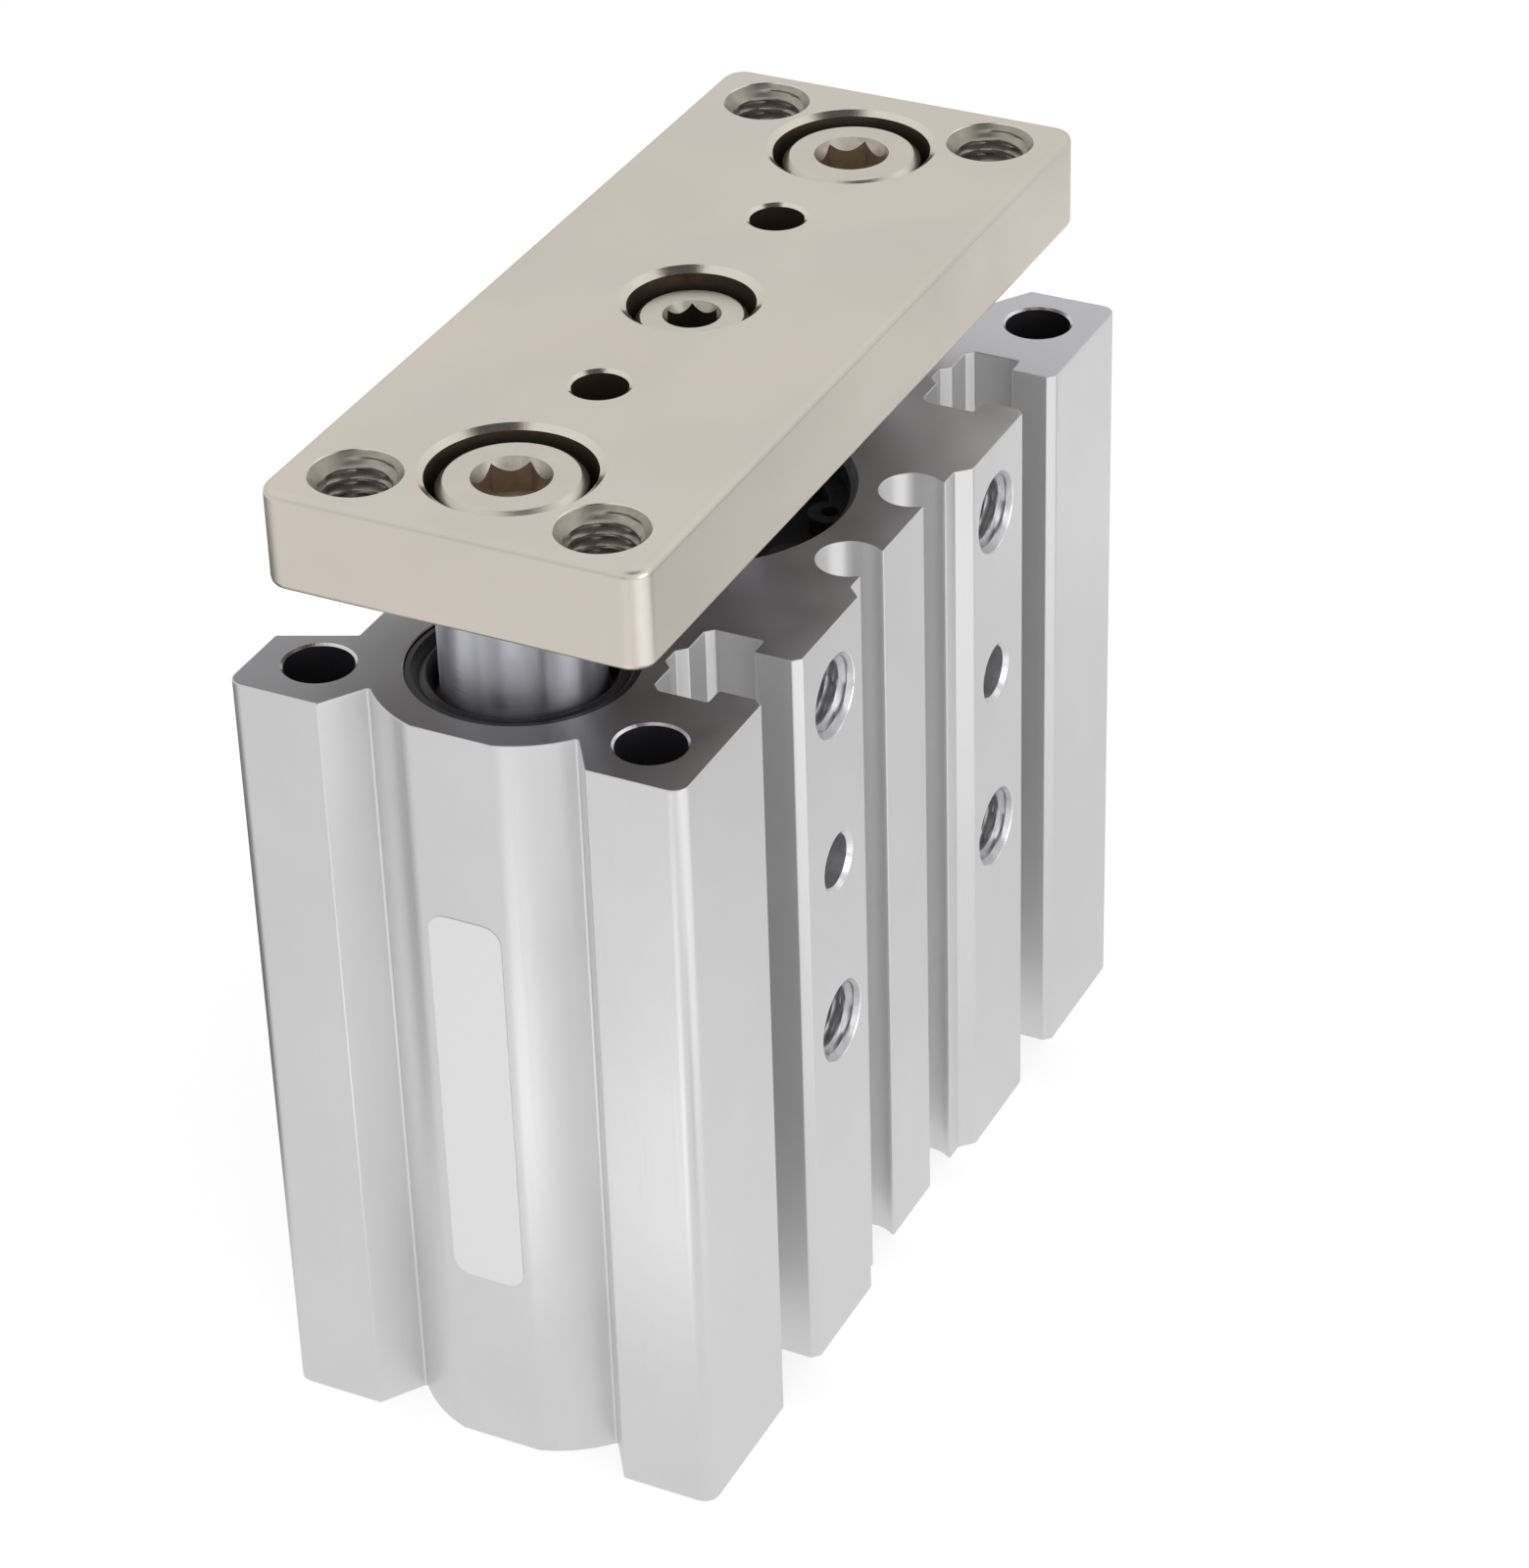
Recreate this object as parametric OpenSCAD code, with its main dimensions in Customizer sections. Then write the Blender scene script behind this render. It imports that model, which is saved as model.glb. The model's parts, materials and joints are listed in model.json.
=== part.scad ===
// Compact guided pneumatic cylinder. An extruded body holds one cylinder bore and
// two guide bores. A piston rod and two guide rods carry a tooling plate.
// +Z runs along the stroke, X across the guide rods, Y through the body's depth.
// The origin is at the centre of the body's lower end, with the plate drawn in.
// All sizes are in millimetres.

/* [Cylinder] */
// Travel of the tooling plate
stroke = 20; // [10:10:50]
// Diameter of the cylinder bore
bore_d = 16; // [15.5:0.1:16.2]
// Diameter of the piston rod
piston_rod_d = 8; // [7:0.5:8]
// Diameter of the pocket that holds the rod-end collar
collar_d = 19; // [18.5:0.1:19.2]
// Height of the piston between its bumpers
piston_h = 12; // [11:0.1:12]

/* [Extruded body] */
// Width of the body, across the guide rods
body_w = 64; // [64:1:68]
// Depth of the body, between its two wide faces
body_d = 30; // [30:0.5:32]
// Length of the body beyond the stroke
body_base_h = 33; // [33:1:38]
// Radius of the body's upright corners
body_corner_r = 1; // [0.5:0.1:1.5]
// Radius of the round column round each guide bore
column_r = 9.3; // [9.2:0.1:9.4]
// Half width of the valley in each narrow end, at the end face
valley_half_w = 8.8; // [8.7:0.1:8.9]
// Slope of the valley's side facets, in degrees from X
valley_slope = 34; // [32:1:35]

/* [T-slots] */
// Distance of each T-slot from the body's middle
slot_x = 19; // [18.8:0.1:19.2]
// Width of the slot's mouth
slot_mouth = 4.6; // [4.4:0.1:4.8]
// Width of the slot's pocket
slot_pocket = 7.4; // [7.2:0.1:7.6]
// Thickness of the lips over the pocket
slot_lip = 3; // [2.5:0.1:3.2]
// Whole depth of the slot
slot_depth = 6.7; // [6.2:0.1:6.8]
// Width of the relief along the slot's floor
slot_relief_w = 2.4; // [2:0.1:2.6]

/* [Switch grooves] */
// Diameter of the round grooves for magnetic switches
groove_d = 4.2; // [4:0.1:4.3]
// Width of a groove's mouth
groove_mouth = 3.3; // [3:0.1:3.4]
// Distance of the grooves in the mounting face from the middle
front_groove_x = 4.6; // [4.5:0.1:4.7]
// Distance of the grooves in the port face from the middle
rear_groove_x = 6.8; // [6.6:0.1:7]
// Depth of the step along the middle of the mounting face
step_depth = 0.9; // [0.6:0.1:1]
// Half width of that step
step_half_w = 8.5; // [8.3:0.1:8.7]

/* [Port face] */
// Half width of the land that carries the ports
land_half_w = 10.5; // [10.3:0.1:10.8]
// Depth of the recess on each side of the land
recess_depth = 4.6; // [4.2:0.1:4.8]
// Distance of the rod-end port from the body's plate end
rod_port_drop = 11; // [11:0.1:11.5]
// Height of the head-end port above the body's lower end
head_port_z = 8; // [8:0.1:8.3]

/* [Guide rods] */
// Distance between the two guide rods
guide_pitch = 46; // [46:0.1:46.2]
// Diameter of the guide rods
guide_rod_d = 10; // [9:0.5:10]
// Outer diameter of the guide bushes
bush_d = 13; // [12.6:0.1:13.2]
// Diameter of the felt holder's pocket at the plate end
holder_d = 14.2; // [14:0.1:14.3]

/* [Tooling plate] */
// Width of the plate
plate_w = 62; // [60:0.5:64]
// Depth of the plate
plate_d = 25; // [25:0.5:28]
// Thickness of the plate
plate_t = 6.5; // [6.5:0.5:12]
// Gap between body and plate when drawn in
plate_gap = 6.5; // [4:0.5:8]
// Edge chamfer of the plate
plate_chamfer = 0.4; // [0.2:0.1:0.6]
// Radius of the plate's upright corners
plate_corner_r = 1.5; // [1:0.1:2]
// How far the guide rods' bolt heads lie below the plate's top
guide_bolt_recess = 0.5; // [0.3:0.1:1]
// How far the piston rod's bolt head lies below the plate's top
rod_bolt_recess = 1.1; // [0.5:0.1:1.3]

/* [Mounting holes] */
// Tapping diameter of the M5 holes
tap_d = 4.2; // [4.1:0.05:4.3]
// Diameter of the countersink at each M5 hole
sink_d = 5.4; // [5:0.1:5.6]
// Pitch of the plate's tapped holes along X
plate_tap_x = 54; // [53.5:0.1:54.5]
// Pitch of the plate's tapped holes along Y
plate_tap_y = 16; // [15.8:0.1:16.2]
// Pitch of the side tapped holes and of all dowel holes along X
side_tap_x = 24; // [23.8:0.1:24.2]
// Drop of the upper side tapped holes below the plate end
side_tap_drop = 5; // [5:0.1:5.5]
// Pitch of the side tapped holes along Z
side_tap_z = 24; // [20:1:26]
// Depth of the side tapped holes
side_tap_depth = 10; // [8:0.5:10]
// Diameter of the dowel holes in the plate and the mounting face
dowel_d = 3.5; // [3:0.1:3.6]
// Diameter of the dowel holes in the body's lower end
end_dowel_d = 4; // [3.8:0.1:4.2]
// Diameter of the four through holes in the body
through_d = 4.3; // [4.2:0.1:4.5]
// Pitch of the through holes along X
through_x = 56; // [55.8:0.1:56.2]
// Pitch of the through holes along Y
through_y = 22; // [21.8:0.1:22.2]

/* [Label] */
// Width of the blank label
label_w = 4.9; // [4:0.1:5]
// Height of the blank label
label_h = 27; // [20:1:30]

/* [Hidden] */

$fn = 64;
over = 1;
left = -1;
right = 1;

// Levels of the body
body_h = body_base_h + stroke;
front_y = -body_d / 2;
rear_y = body_d / 2;
column_flat_x = body_w / 2 - 0.1;
guide_x = guide_pitch / 2;
slot_chamfer = 0.5;
slot_relief_depth = 0.6;
groove_centre = 1.5;
recess_outer_x = body_w / 2 - 5.7;
recess_slope = 2;
through_chamfer = 0.3;

// Levels of the rod end
collar_pocket = 10;
collar_z = body_h - collar_pocket;
collar_h = 7.2;
ring_t = 1;
ring_play = 0.1;
rod_ring_z = collar_z + collar_h;
rod_groove_d = collar_d + 1.1;
collar_seal_z = 3.8;
seal_h = 2.4;
seal_d = 12.8;
gasket_wire = 1.4;
gasket_groove = 1.8;
collar_gasket_z = 1.4;
mouth_chamfer = 0.5;

// Levels of the head end
head_ring_z = 1.35;
head_groove_d = bore_d + 0.9;
head_cover_z = head_ring_z + ring_t;
head_cover_h = 5;
head_cover_top = head_cover_z + head_cover_h;
head_gasket_z = 1.6;

// Running clearances, on the radius
rod_play = 0.05;
bush_play = 0.03;
lip_play = 0.03;
piston_play = 0.1;
stop_play = 0.25;

// Levels of the piston, drawn in
bumper_h = 1.6;
head_bumper_z = head_cover_top + stop_play;
piston_z = head_bumper_z + bumper_h;
piston_top = piston_z + piston_h;
spigot_d = 6;
magnet_z = 1.3;
magnet_h = 2.6;
magnet_inner_d = 11;
piston_seal_z = 6.2;
piston_seal_h = 2.8;
piston_seal_inner_d = 11.6;
bumper_d = 13;

// Levels of the guides
holder_pocket = 4.5;
felt_h = 2.2;
holder_drop = 0.15;
upper_bush_h = 14;
lower_bush_h = 14;
lower_bush_z = 1;
guide_rod_z = 0.6;
rod_chamfer = 0.5;

// Levels of the plate
plate_z = body_h + plate_gap;
plate_top = plate_z + plate_t;
guide_bolt_thread = 5;
guide_bolt_head = 9;
guide_bolt_head_h = 3.6;
guide_bolt_socket = 4;
guide_bolt_sink = 10.2;
guide_bolt_top = plate_top - guide_bolt_recess;
rod_bolt_thread = 4;
rod_bolt_head = 7;
rod_bolt_head_h = 3;
rod_bolt_socket = 3;
rod_bolt_sink = 8;
rod_bolt_top = plate_top - rod_bolt_recess;
bolt_engagement = 10;
bolt_hole_play = 0.3;
bolt_end_play = 1;

// Ports and dowel holes
port_depth = 4.4;
port_orifice_d = 1.8;
tip_angle = 59;
side_dowel_depth = 3.5;
end_dowel_depth = 6;
dowel_sink_d = dowel_d + 0.7;
side_dowel_drop = side_tap_drop + side_tap_z / 2;
label_t = 0.1;
label_corner_r = 1.2;

// Points on the +X side of an outline, followed by their mirror images
function mirrored(points) = concat(points,
    [for (i = [len(points) - 1 : -1 : 0]) [-points[i][0], points[i][1]]]);

// Rectangle with round corners, centred
module rounded_rect(w, d, r) {
    square([w - 2 * r, d], center = true);
    square([w, d - 2 * r], center = true);
    for (x = [-1, 1], y = [-1, 1])
        translate([x * (w / 2 - r), y * (d / 2 - r)]) circle(r = r);
}

// Rectangle with cut corners, centred on X and standing on Y = 0
module chamfered_rect(w, h, c) {
    polygon(mirrored([[w / 2 - c, 0], [w / 2, c], [w / 2, h - c], [w / 2 - c, h]]));
}

// Ring with a plain bore
module ring(outer_d, inner_d, h) {
    difference() {
        cylinder(d = outer_d, h = h);
        translate([0, 0, -over]) cylinder(d = inner_d, h = h + 2 * over);
    }
}

// Cutter for a chamfer at the mouth of a hole, whose mouth is at Z = 0 and opens up
module mouth_cut(hole_d, mouth_d) {
    c = (mouth_d - hole_d) / 2;
    translate([0, 0, -c]) cylinder(d1 = hole_d, d2 = mouth_d + 2 * over, h = c + over);
}

// Cutter for a drilled blind hole with its tip, whose mouth is at Z = 0 and opens up
module blind_hole(hole_d, mouth_d, depth) {
    tip = hole_d / 2 / tan(tip_angle);
    translate([0, 0, -depth]) cylinder(d = hole_d, h = depth + over);
    translate([0, 0, -depth - tip]) cylinder(d1 = 0, d2 = hole_d, h = tip);
    mouth_cut(hole_d, mouth_d);
}

// Turns a cutter that opens up into one that opens towards -Y or +Y
module facing_front() {
    rotate([90, 0, 0]) children();
}

module facing_rear() {
    rotate([-90, 0, 0]) children();
}

// Places its children at both ends of a pitch along X
module pair_x(pitch) {
    for (x = [-1, 1]) translate([x * pitch / 2, 0, 0]) children();
}

// T-slot with its mouth on Y = 0 and its floor towards +Y
module t_slot() {
    half_mouth = slot_mouth / 2;
    half_pocket = slot_pocket / 2;
    half_relief = slot_relief_w / 2;
    polygon(mirrored([
        [half_mouth + slot_chamfer + over, -over],
        [half_mouth, slot_chamfer],
        [half_mouth, slot_lip],
        [half_pocket, slot_lip],
        [half_pocket, slot_depth - slot_chamfer],
        [half_pocket - slot_chamfer, slot_depth],
        [half_relief, slot_depth],
        [half_relief - slot_relief_depth, slot_depth + slot_relief_depth]
    ]));
}

// Round switch groove with its mouth on Y = 0 and its floor towards +Y
module switch_groove() {
    translate([0, groove_centre]) circle(d = groove_d);
    translate([-groove_mouth / 2, -over]) square([groove_mouth, groove_centre + over]);
}

// Shallow step along the middle of the mounting face, with 45 degree sides
module front_step() {
    polygon(mirrored([
        [step_half_w + over, -over],
        [step_half_w - step_depth, step_depth]
    ]));
}

// Valley in the +X end, on both sides of the guide column
module end_valley() {
    inner_x = guide_x + column_r / 2;
    outer_x = body_w / 2 + over;
    inner_y = valley_half_w - (body_w / 2 - inner_x) * tan(valley_slope);
    outer_y = valley_half_w + over * tan(valley_slope);
    difference() {
        polygon([[inner_x, -inner_y], [outer_x, -outer_y], [outer_x, outer_y], [inner_x, inner_y]]);
        intersection() {
            translate([guide_x, 0]) circle(r = column_r);
            translate([0, -body_d]) square([column_flat_x, 2 * body_d]);
        }
    }
}

// Recess in the port face between the land and the +X corner, floor towards -Y
module port_recess() {
    slant = recess_slope / recess_depth * over;
    polygon([
        [land_half_w - slant, over],
        [land_half_w + recess_slope, -recess_depth],
        [recess_outer_x - recess_slope, -recess_depth],
        [recess_outer_x + slant, over]
    ]);
}

// Cross-section of the extrusion, without its bores
module body_profile() {
    difference() {
        rounded_rect(body_w, body_d, body_corner_r);
        translate([0, front_y]) front_step();
        for (side = [left, right]) {
            translate([side * slot_x, front_y]) t_slot();
            translate([side * front_groove_x, front_y + step_depth]) switch_groove();
            translate([side * rear_groove_x, rear_y]) rotate(180) switch_groove();
            mirror([side == left ? 1 : 0, 0]) end_valley();
            mirror([side == left ? 1 : 0, 0]) translate([0, rear_y]) port_recess();
        }
    }
}

// Cylinder bore, collar pocket, retaining ring grooves and their mouths
module cylinder_bore() {
    translate([0, 0, -over]) cylinder(d = bore_d, h = body_h + 2 * over);
    translate([0, 0, collar_z]) cylinder(d = collar_d, h = collar_pocket + over);
    translate([0, 0, rod_ring_z]) cylinder(d = rod_groove_d, h = ring_t + ring_play);
    translate([0, 0, body_h]) mouth_cut(collar_d, collar_d + 2 * mouth_chamfer);
    translate([0, 0, head_ring_z - ring_play]) cylinder(d = head_groove_d, h = ring_t + ring_play);
    rotate([180, 0, 0]) mouth_cut(bore_d, bore_d + 2 * mouth_chamfer);
}

// Guide bore with the pocket for the felt holder
module guide_bore() {
    translate([0, 0, -over]) cylinder(d = bush_d, h = body_h + 2 * over);
    translate([0, 0, body_h - holder_pocket]) cylinder(d = holder_d, h = holder_pocket + over);
    rotate([180, 0, 0]) mouth_cut(bush_d, bush_d + mouth_chamfer);
}

// Through holes with small chamfers, tapped from the lower end
module through_holes() {
    for (y = [-1, 1]) translate([0, y * through_y / 2, 0]) pair_x(through_x) {
        translate([0, 0, -over]) cylinder(d = through_d, h = body_h + 2 * over);
        translate([0, 0, body_h]) mouth_cut(through_d, through_d + through_chamfer);
        rotate([180, 0, 0]) mouth_cut(through_d, sink_d);
    }
}

// Tapped and dowel holes of the mounting face
module side_holes() {
    upper_z = body_h - side_tap_drop;
    for (z = [upper_z, upper_z - side_tap_z])
        translate([0, front_y, z]) pair_x(side_tap_x)
            facing_front() blind_hole(tap_d, sink_d, side_tap_depth);
    translate([0, front_y, body_h - side_dowel_drop]) pair_x(side_tap_x)
        facing_front() blind_hole(dowel_d, dowel_sink_d, side_dowel_depth);
}

// Port with its orifice into the bore
module port(z) {
    translate([0, rear_y, z]) facing_rear() {
        translate([0, 0, -port_depth]) cylinder(d = tap_d, h = port_depth + over);
        translate([0, 0, -rear_y]) cylinder(d = port_orifice_d, h = rear_y);
        mouth_cut(tap_d, sink_d);
    }
}

module cylinder_body() {
    color("gainsboro") difference() {
        linear_extrude(body_h) body_profile();
        cylinder_bore();
        pair_x(guide_pitch) guide_bore();
        through_holes();
        side_holes();
        port(head_port_z);
        port(body_h - rod_port_drop);
        pair_x(side_tap_x) rotate([180, 0, 0])
            blind_hole(end_dowel_d, end_dowel_d + through_chamfer, end_dowel_depth);
    }
}

// Groove for a gasket ring, cut into the outside of a round part
module gasket_cut(outer_d) {
    difference() {
        cylinder(d = outer_d + 2 * over, h = gasket_groove);
        translate([0, 0, -over])
            cylinder(d = outer_d - 2 * gasket_wire, h = gasket_groove + 2 * over);
    }
}

// Round gasket ring that fills such a groove to the outside of the part
module gasket(outer_d) {
    translate([0, 0, gasket_groove / 2]) rotate_extrude()
        translate([(outer_d - gasket_wire) / 2 - lip_play / 2, 0]) circle(d = gasket_wire - lip_play);
}

module rod_end_collar() {
    color("silver") translate([0, 0, collar_z]) difference() {
        cylinder(d = collar_d, h = collar_h);
        translate([0, 0, -over]) cylinder(d = piston_rod_d + 2 * rod_play, h = collar_h + 2 * over);
        translate([0, 0, collar_seal_z]) cylinder(d = seal_d, h = seal_h);
        translate([0, 0, collar_gasket_z]) gasket_cut(collar_d);
    }
}

// Lip seal with its open side towards the pressure
module rod_seal() {
    inner = piston_rod_d / 2 + lip_play;
    outer = seal_d / 2;
    middle = (inner + outer) / 2;
    web = 0.9;
    color("dimgray") translate([0, 0, collar_z + collar_seal_z]) rotate_extrude() polygon([
        [inner, 0], [inner + web / 2, 0], [middle, seal_h - web], [outer - web / 2, 0],
        [outer, 0], [outer, seal_h], [inner + web / 2, seal_h], [inner + web / 2, web],
        [inner, web / 2]
    ]);
}

module collar_gasket() {
    color("dimgray") translate([0, 0, collar_z + collar_gasket_z]) gasket(collar_d);
}

// Open retaining ring with an eye at each end of its gap, which faces -Y
module retaining_ring(outer_d, width) {
    eye_d = 2.8;
    eye_hole_d = 1.2;
    gap = 3;
    eye_r = outer_d / 2 - width;
    eye_turn = asin((gap + eye_d) / 2 / eye_r);
    color("lightslategray") linear_extrude(ring_t) difference() {
        union() {
            difference() {
                circle(d = outer_d);
                circle(d = outer_d - 2 * width);
                translate([0, -outer_d / 2]) square([gap + eye_d, outer_d], center = true);
            }
            for (side = [left, right]) rotate(side * eye_turn) translate([0, -eye_r]) circle(d = eye_d);
        }
        for (side = [left, right])
            rotate(side * eye_turn) translate([0, -eye_r]) circle(d = eye_hole_d);
    }
}

module rod_end_retaining_ring() {
    translate([0, 0, rod_ring_z]) retaining_ring(rod_groove_d - ring_play, 1.8);
}

module head_end_retaining_ring() {
    translate([0, 0, head_ring_z]) retaining_ring(head_groove_d - ring_play, 1.6);
}

module head_cover() {
    dish_d = 8;
    dish_h = 1.2;
    color("silver") translate([0, 0, head_cover_z]) difference() {
        cylinder(d = bore_d, h = head_cover_h);
        translate([0, 0, head_gasket_z]) gasket_cut(bore_d);
        translate([0, 0, -over]) cylinder(d = dish_d, h = dish_h + over);
    }
}

module head_cover_gasket() {
    color("dimgray") translate([0, 0, head_cover_z + head_gasket_z]) gasket(bore_d);
}

module guide_bush(side, z, h) {
    color("tan") translate([side * guide_x, 0, z])
        ring(bush_d, guide_rod_d + 2 * bush_play, h);
}

module upper_guide_bush_left() {
    guide_bush(left, body_h - holder_pocket - upper_bush_h, upper_bush_h);
}

module upper_guide_bush_right() {
    guide_bush(right, body_h - holder_pocket - upper_bush_h, upper_bush_h);
}

module lower_guide_bush_left() {
    guide_bush(left, lower_bush_z, lower_bush_h);
}

module lower_guide_bush_right() {
    guide_bush(right, lower_bush_z, lower_bush_h);
}

module felt_ring(side) {
    color("darkkhaki") translate([side * guide_x, 0, body_h - holder_pocket])
        ring(holder_d, guide_rod_d + 2 * rod_play, felt_h);
}

module felt_ring_left() {
    felt_ring(left);
}

module felt_ring_right() {
    felt_ring(right);
}

// Moulded ring that keeps the felt in its pocket, with a ridge round the rod
module felt_holder(side) {
    outer = holder_d / 2;
    inner = guide_rod_d / 2 + 0.35;
    top = holder_pocket - felt_h - holder_drop;
    ridge = 0.45;
    color("black") translate([side * guide_x, 0, body_h - holder_pocket + felt_h])
        rotate_extrude() polygon([
            [inner, 0], [outer, 0], [outer, top], [outer - ridge, top],
            [outer - 2 * ridge, top - ridge], [inner + 2 * ridge, top - ridge],
            [inner + ridge, top - ridge / 2], [inner, top - 2 * ridge]
        ]);
}

module felt_holder_left() {
    felt_holder(left);
}

module felt_holder_right() {
    felt_holder(right);
}

// Plain label without print on the flat of the -X column
module blank_label() {
    color("whitesmoke") translate([-column_flat_x - label_t, 0, body_h / 2]) rotate([0, 90, 0])
        linear_extrude(label_t) rounded_rect(label_h, label_w, label_corner_r);
}

// Hole for a socket bolt, with a counterbore that opens at the plate's top
module bolt_seat(thread_d, sink, floor_z) {
    translate([0, 0, plate_z - over]) cylinder(d = thread_d + bolt_hole_play, h = plate_t + 2 * over);
    translate([0, 0, floor_z]) cylinder(d = sink, h = plate_t);
    translate([0, 0, plate_top]) mouth_cut(sink, sink + mouth_chamfer);
}

// Through hole of the plate with a chamfer at both ends
module plate_hole(hole_d, mouth_d) {
    translate([0, 0, plate_z - over]) cylinder(d = hole_d, h = plate_t + 2 * over);
    translate([0, 0, plate_top]) mouth_cut(hole_d, mouth_d);
    translate([0, 0, plate_z]) rotate([180, 0, 0]) mouth_cut(hole_d, mouth_d);
}

module tooling_plate() {
    color("antiquewhite") difference() {
        intersection() {
            translate([0, 0, plate_z]) linear_extrude(plate_t)
                rounded_rect(plate_w, plate_d, plate_corner_r);
            translate([0, plate_d / 2, plate_z]) rotate([90, 0, 0])
                linear_extrude(plate_d) chamfered_rect(plate_w, plate_t, plate_chamfer);
            translate([-plate_w / 2, 0, plate_z]) rotate([90, 0, 90])
                linear_extrude(plate_w) chamfered_rect(plate_d, plate_t, plate_chamfer);
        }
        pair_x(guide_pitch)
            bolt_seat(guide_bolt_thread, guide_bolt_sink, guide_bolt_top - guide_bolt_head_h);
        bolt_seat(rod_bolt_thread, rod_bolt_sink, rod_bolt_top - rod_bolt_head_h);
        for (y = [-1, 1]) translate([0, y * plate_tap_y / 2, 0])
            pair_x(plate_tap_x) plate_hole(tap_d, sink_d);
        pair_x(side_tap_x) plate_hole(dowel_d, dowel_sink_d);
    }
}

// Round rod with chamfered ends and a tapped hole in its upper end
module drilled_rod(rod_d, thread_d, z, top) {
    depth = bolt_engagement + bolt_end_play;
    difference() {
        translate([0, 0, z]) rotate_extrude() polygon([
            [0, 0], [rod_d / 2 - rod_chamfer, 0], [rod_d / 2, rod_chamfer],
            [rod_d / 2, top - z - rod_chamfer], [rod_d / 2 - rod_chamfer, top - z], [0, top - z]
        ]);
        translate([0, 0, top - depth]) cylinder(d = thread_d, h = depth + over);
    }
}

// Low-head hexagon socket bolt that holds a rod to the plate
module socket_bolt(thread_d, head_d, head_h, socket, head_top) {
    rim = 0.5;
    end_z = plate_z - bolt_engagement;
    socket_z = head_top - head_h * 0.6;
    tip_h = socket / 5;
    difference() {
        rotate_extrude() polygon([
            [0, end_z], [thread_d / 2 - rim, end_z], [thread_d / 2, end_z + rim],
            [thread_d / 2, head_top - head_h], [head_d / 2, head_top - head_h],
            [head_d / 2, head_top - rim], [head_d / 2 - rim, head_top], [0, head_top]
        ]);
        translate([0, 0, socket_z]) cylinder(d = socket / cos(30), h = head_h, $fn = 6);
        translate([0, 0, socket_z - tip_h])
            cylinder(d1 = 0, d2 = socket * 0.96, h = tip_h);
    }
}

module guide_rod(side) {
    color("lightsteelblue") translate([side * guide_x, 0, 0])
        drilled_rod(guide_rod_d, guide_bolt_thread, guide_rod_z, plate_z);
}

module guide_rod_left() {
    guide_rod(left);
}

module guide_rod_right() {
    guide_rod(right);
}

module guide_rod_bolt(side) {
    color("wheat") translate([side * guide_x, 0, 0])
        socket_bolt(guide_bolt_thread, guide_bolt_head, guide_bolt_head_h, guide_bolt_socket, guide_bolt_top);
}

module guide_rod_bolt_left() {
    guide_rod_bolt(left);
}

module guide_rod_bolt_right() {
    guide_rod_bolt(right);
}

module piston_rod_bolt() {
    color("wheat")
        socket_bolt(rod_bolt_thread, rod_bolt_head, rod_bolt_head_h, rod_bolt_socket, rod_bolt_top);
}

// Piston rod with a spigot through the piston
module piston_rod() {
    color("lightsteelblue") {
        drilled_rod(piston_rod_d, rod_bolt_thread, piston_top, plate_z);
        translate([0, 0, piston_z]) cylinder(d = spigot_d, h = piston_h + rod_chamfer);
    }
}

module piston() {
    color("silver") translate([0, 0, piston_z]) difference() {
        cylinder(d = bore_d - 2 * piston_play, h = piston_h);
        translate([0, 0, -over]) cylinder(d = spigot_d, h = piston_h + 2 * over);
        translate([0, 0, magnet_z]) difference() {
            cylinder(d = bore_d, h = magnet_h);
            translate([0, 0, -over]) cylinder(d = magnet_inner_d, h = magnet_h + 2 * over);
        }
        translate([0, 0, piston_seal_z]) difference() {
            cylinder(d = bore_d, h = piston_seal_h);
            translate([0, 0, -over]) cylinder(d = piston_seal_inner_d, h = piston_seal_h + 2 * over);
        }
    }
}

// Double lip seal of the piston, with a groove between its lips
module piston_seal() {
    inner = piston_seal_inner_d / 2;
    outer = bore_d / 2 - lip_play;
    lip = 0.7;
    color("dimgray") translate([0, 0, piston_z + piston_seal_z]) rotate_extrude() polygon([
        [inner, 0], [outer - lip, 0], [outer, lip], [outer - lip, piston_seal_h / 2],
        [outer, piston_seal_h - lip], [outer - lip, piston_seal_h], [inner, piston_seal_h]
    ]);
}

// Magnet ring with the split that lets it snap into its groove
module piston_magnet() {
    split = 0.8;
    outer_d = bore_d - 4 * piston_play;
    color("darkslategray") translate([0, 0, piston_z + magnet_z]) difference() {
        ring(outer_d, magnet_inner_d, magnet_h);
        translate([-split / 2, -bore_d, -over]) cube([split, bore_d, magnet_h + 2 * over]);
    }
}

module rod_side_bumper() {
    color("goldenrod") translate([0, 0, piston_top]) ring(bumper_d, piston_rod_d, bumper_h);
}

module head_side_bumper() {
    color("goldenrod") translate([0, 0, head_bumper_z]) ring(bumper_d, spigot_d, bumper_h);
}

cylinder_body();
rod_end_collar();
rod_seal();
collar_gasket();
rod_end_retaining_ring();
head_cover();
head_cover_gasket();
head_end_retaining_ring();
upper_guide_bush_left();
upper_guide_bush_right();
lower_guide_bush_left();
lower_guide_bush_right();
felt_ring_left();
felt_ring_right();
felt_holder_left();
felt_holder_right();
blank_label();
tooling_plate();
guide_rod_left();
guide_rod_right();
guide_rod_bolt_left();
guide_rod_bolt_right();
piston_rod();
piston_rod_bolt();
piston();
piston_seal();
piston_magnet();
rod_side_bumper();
head_side_bumper();
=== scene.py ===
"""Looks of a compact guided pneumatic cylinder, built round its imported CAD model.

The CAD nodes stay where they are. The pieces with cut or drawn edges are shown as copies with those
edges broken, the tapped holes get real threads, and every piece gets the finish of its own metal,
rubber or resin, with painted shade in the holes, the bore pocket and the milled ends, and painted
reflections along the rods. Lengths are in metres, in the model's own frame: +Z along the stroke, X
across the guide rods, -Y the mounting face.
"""

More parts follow.
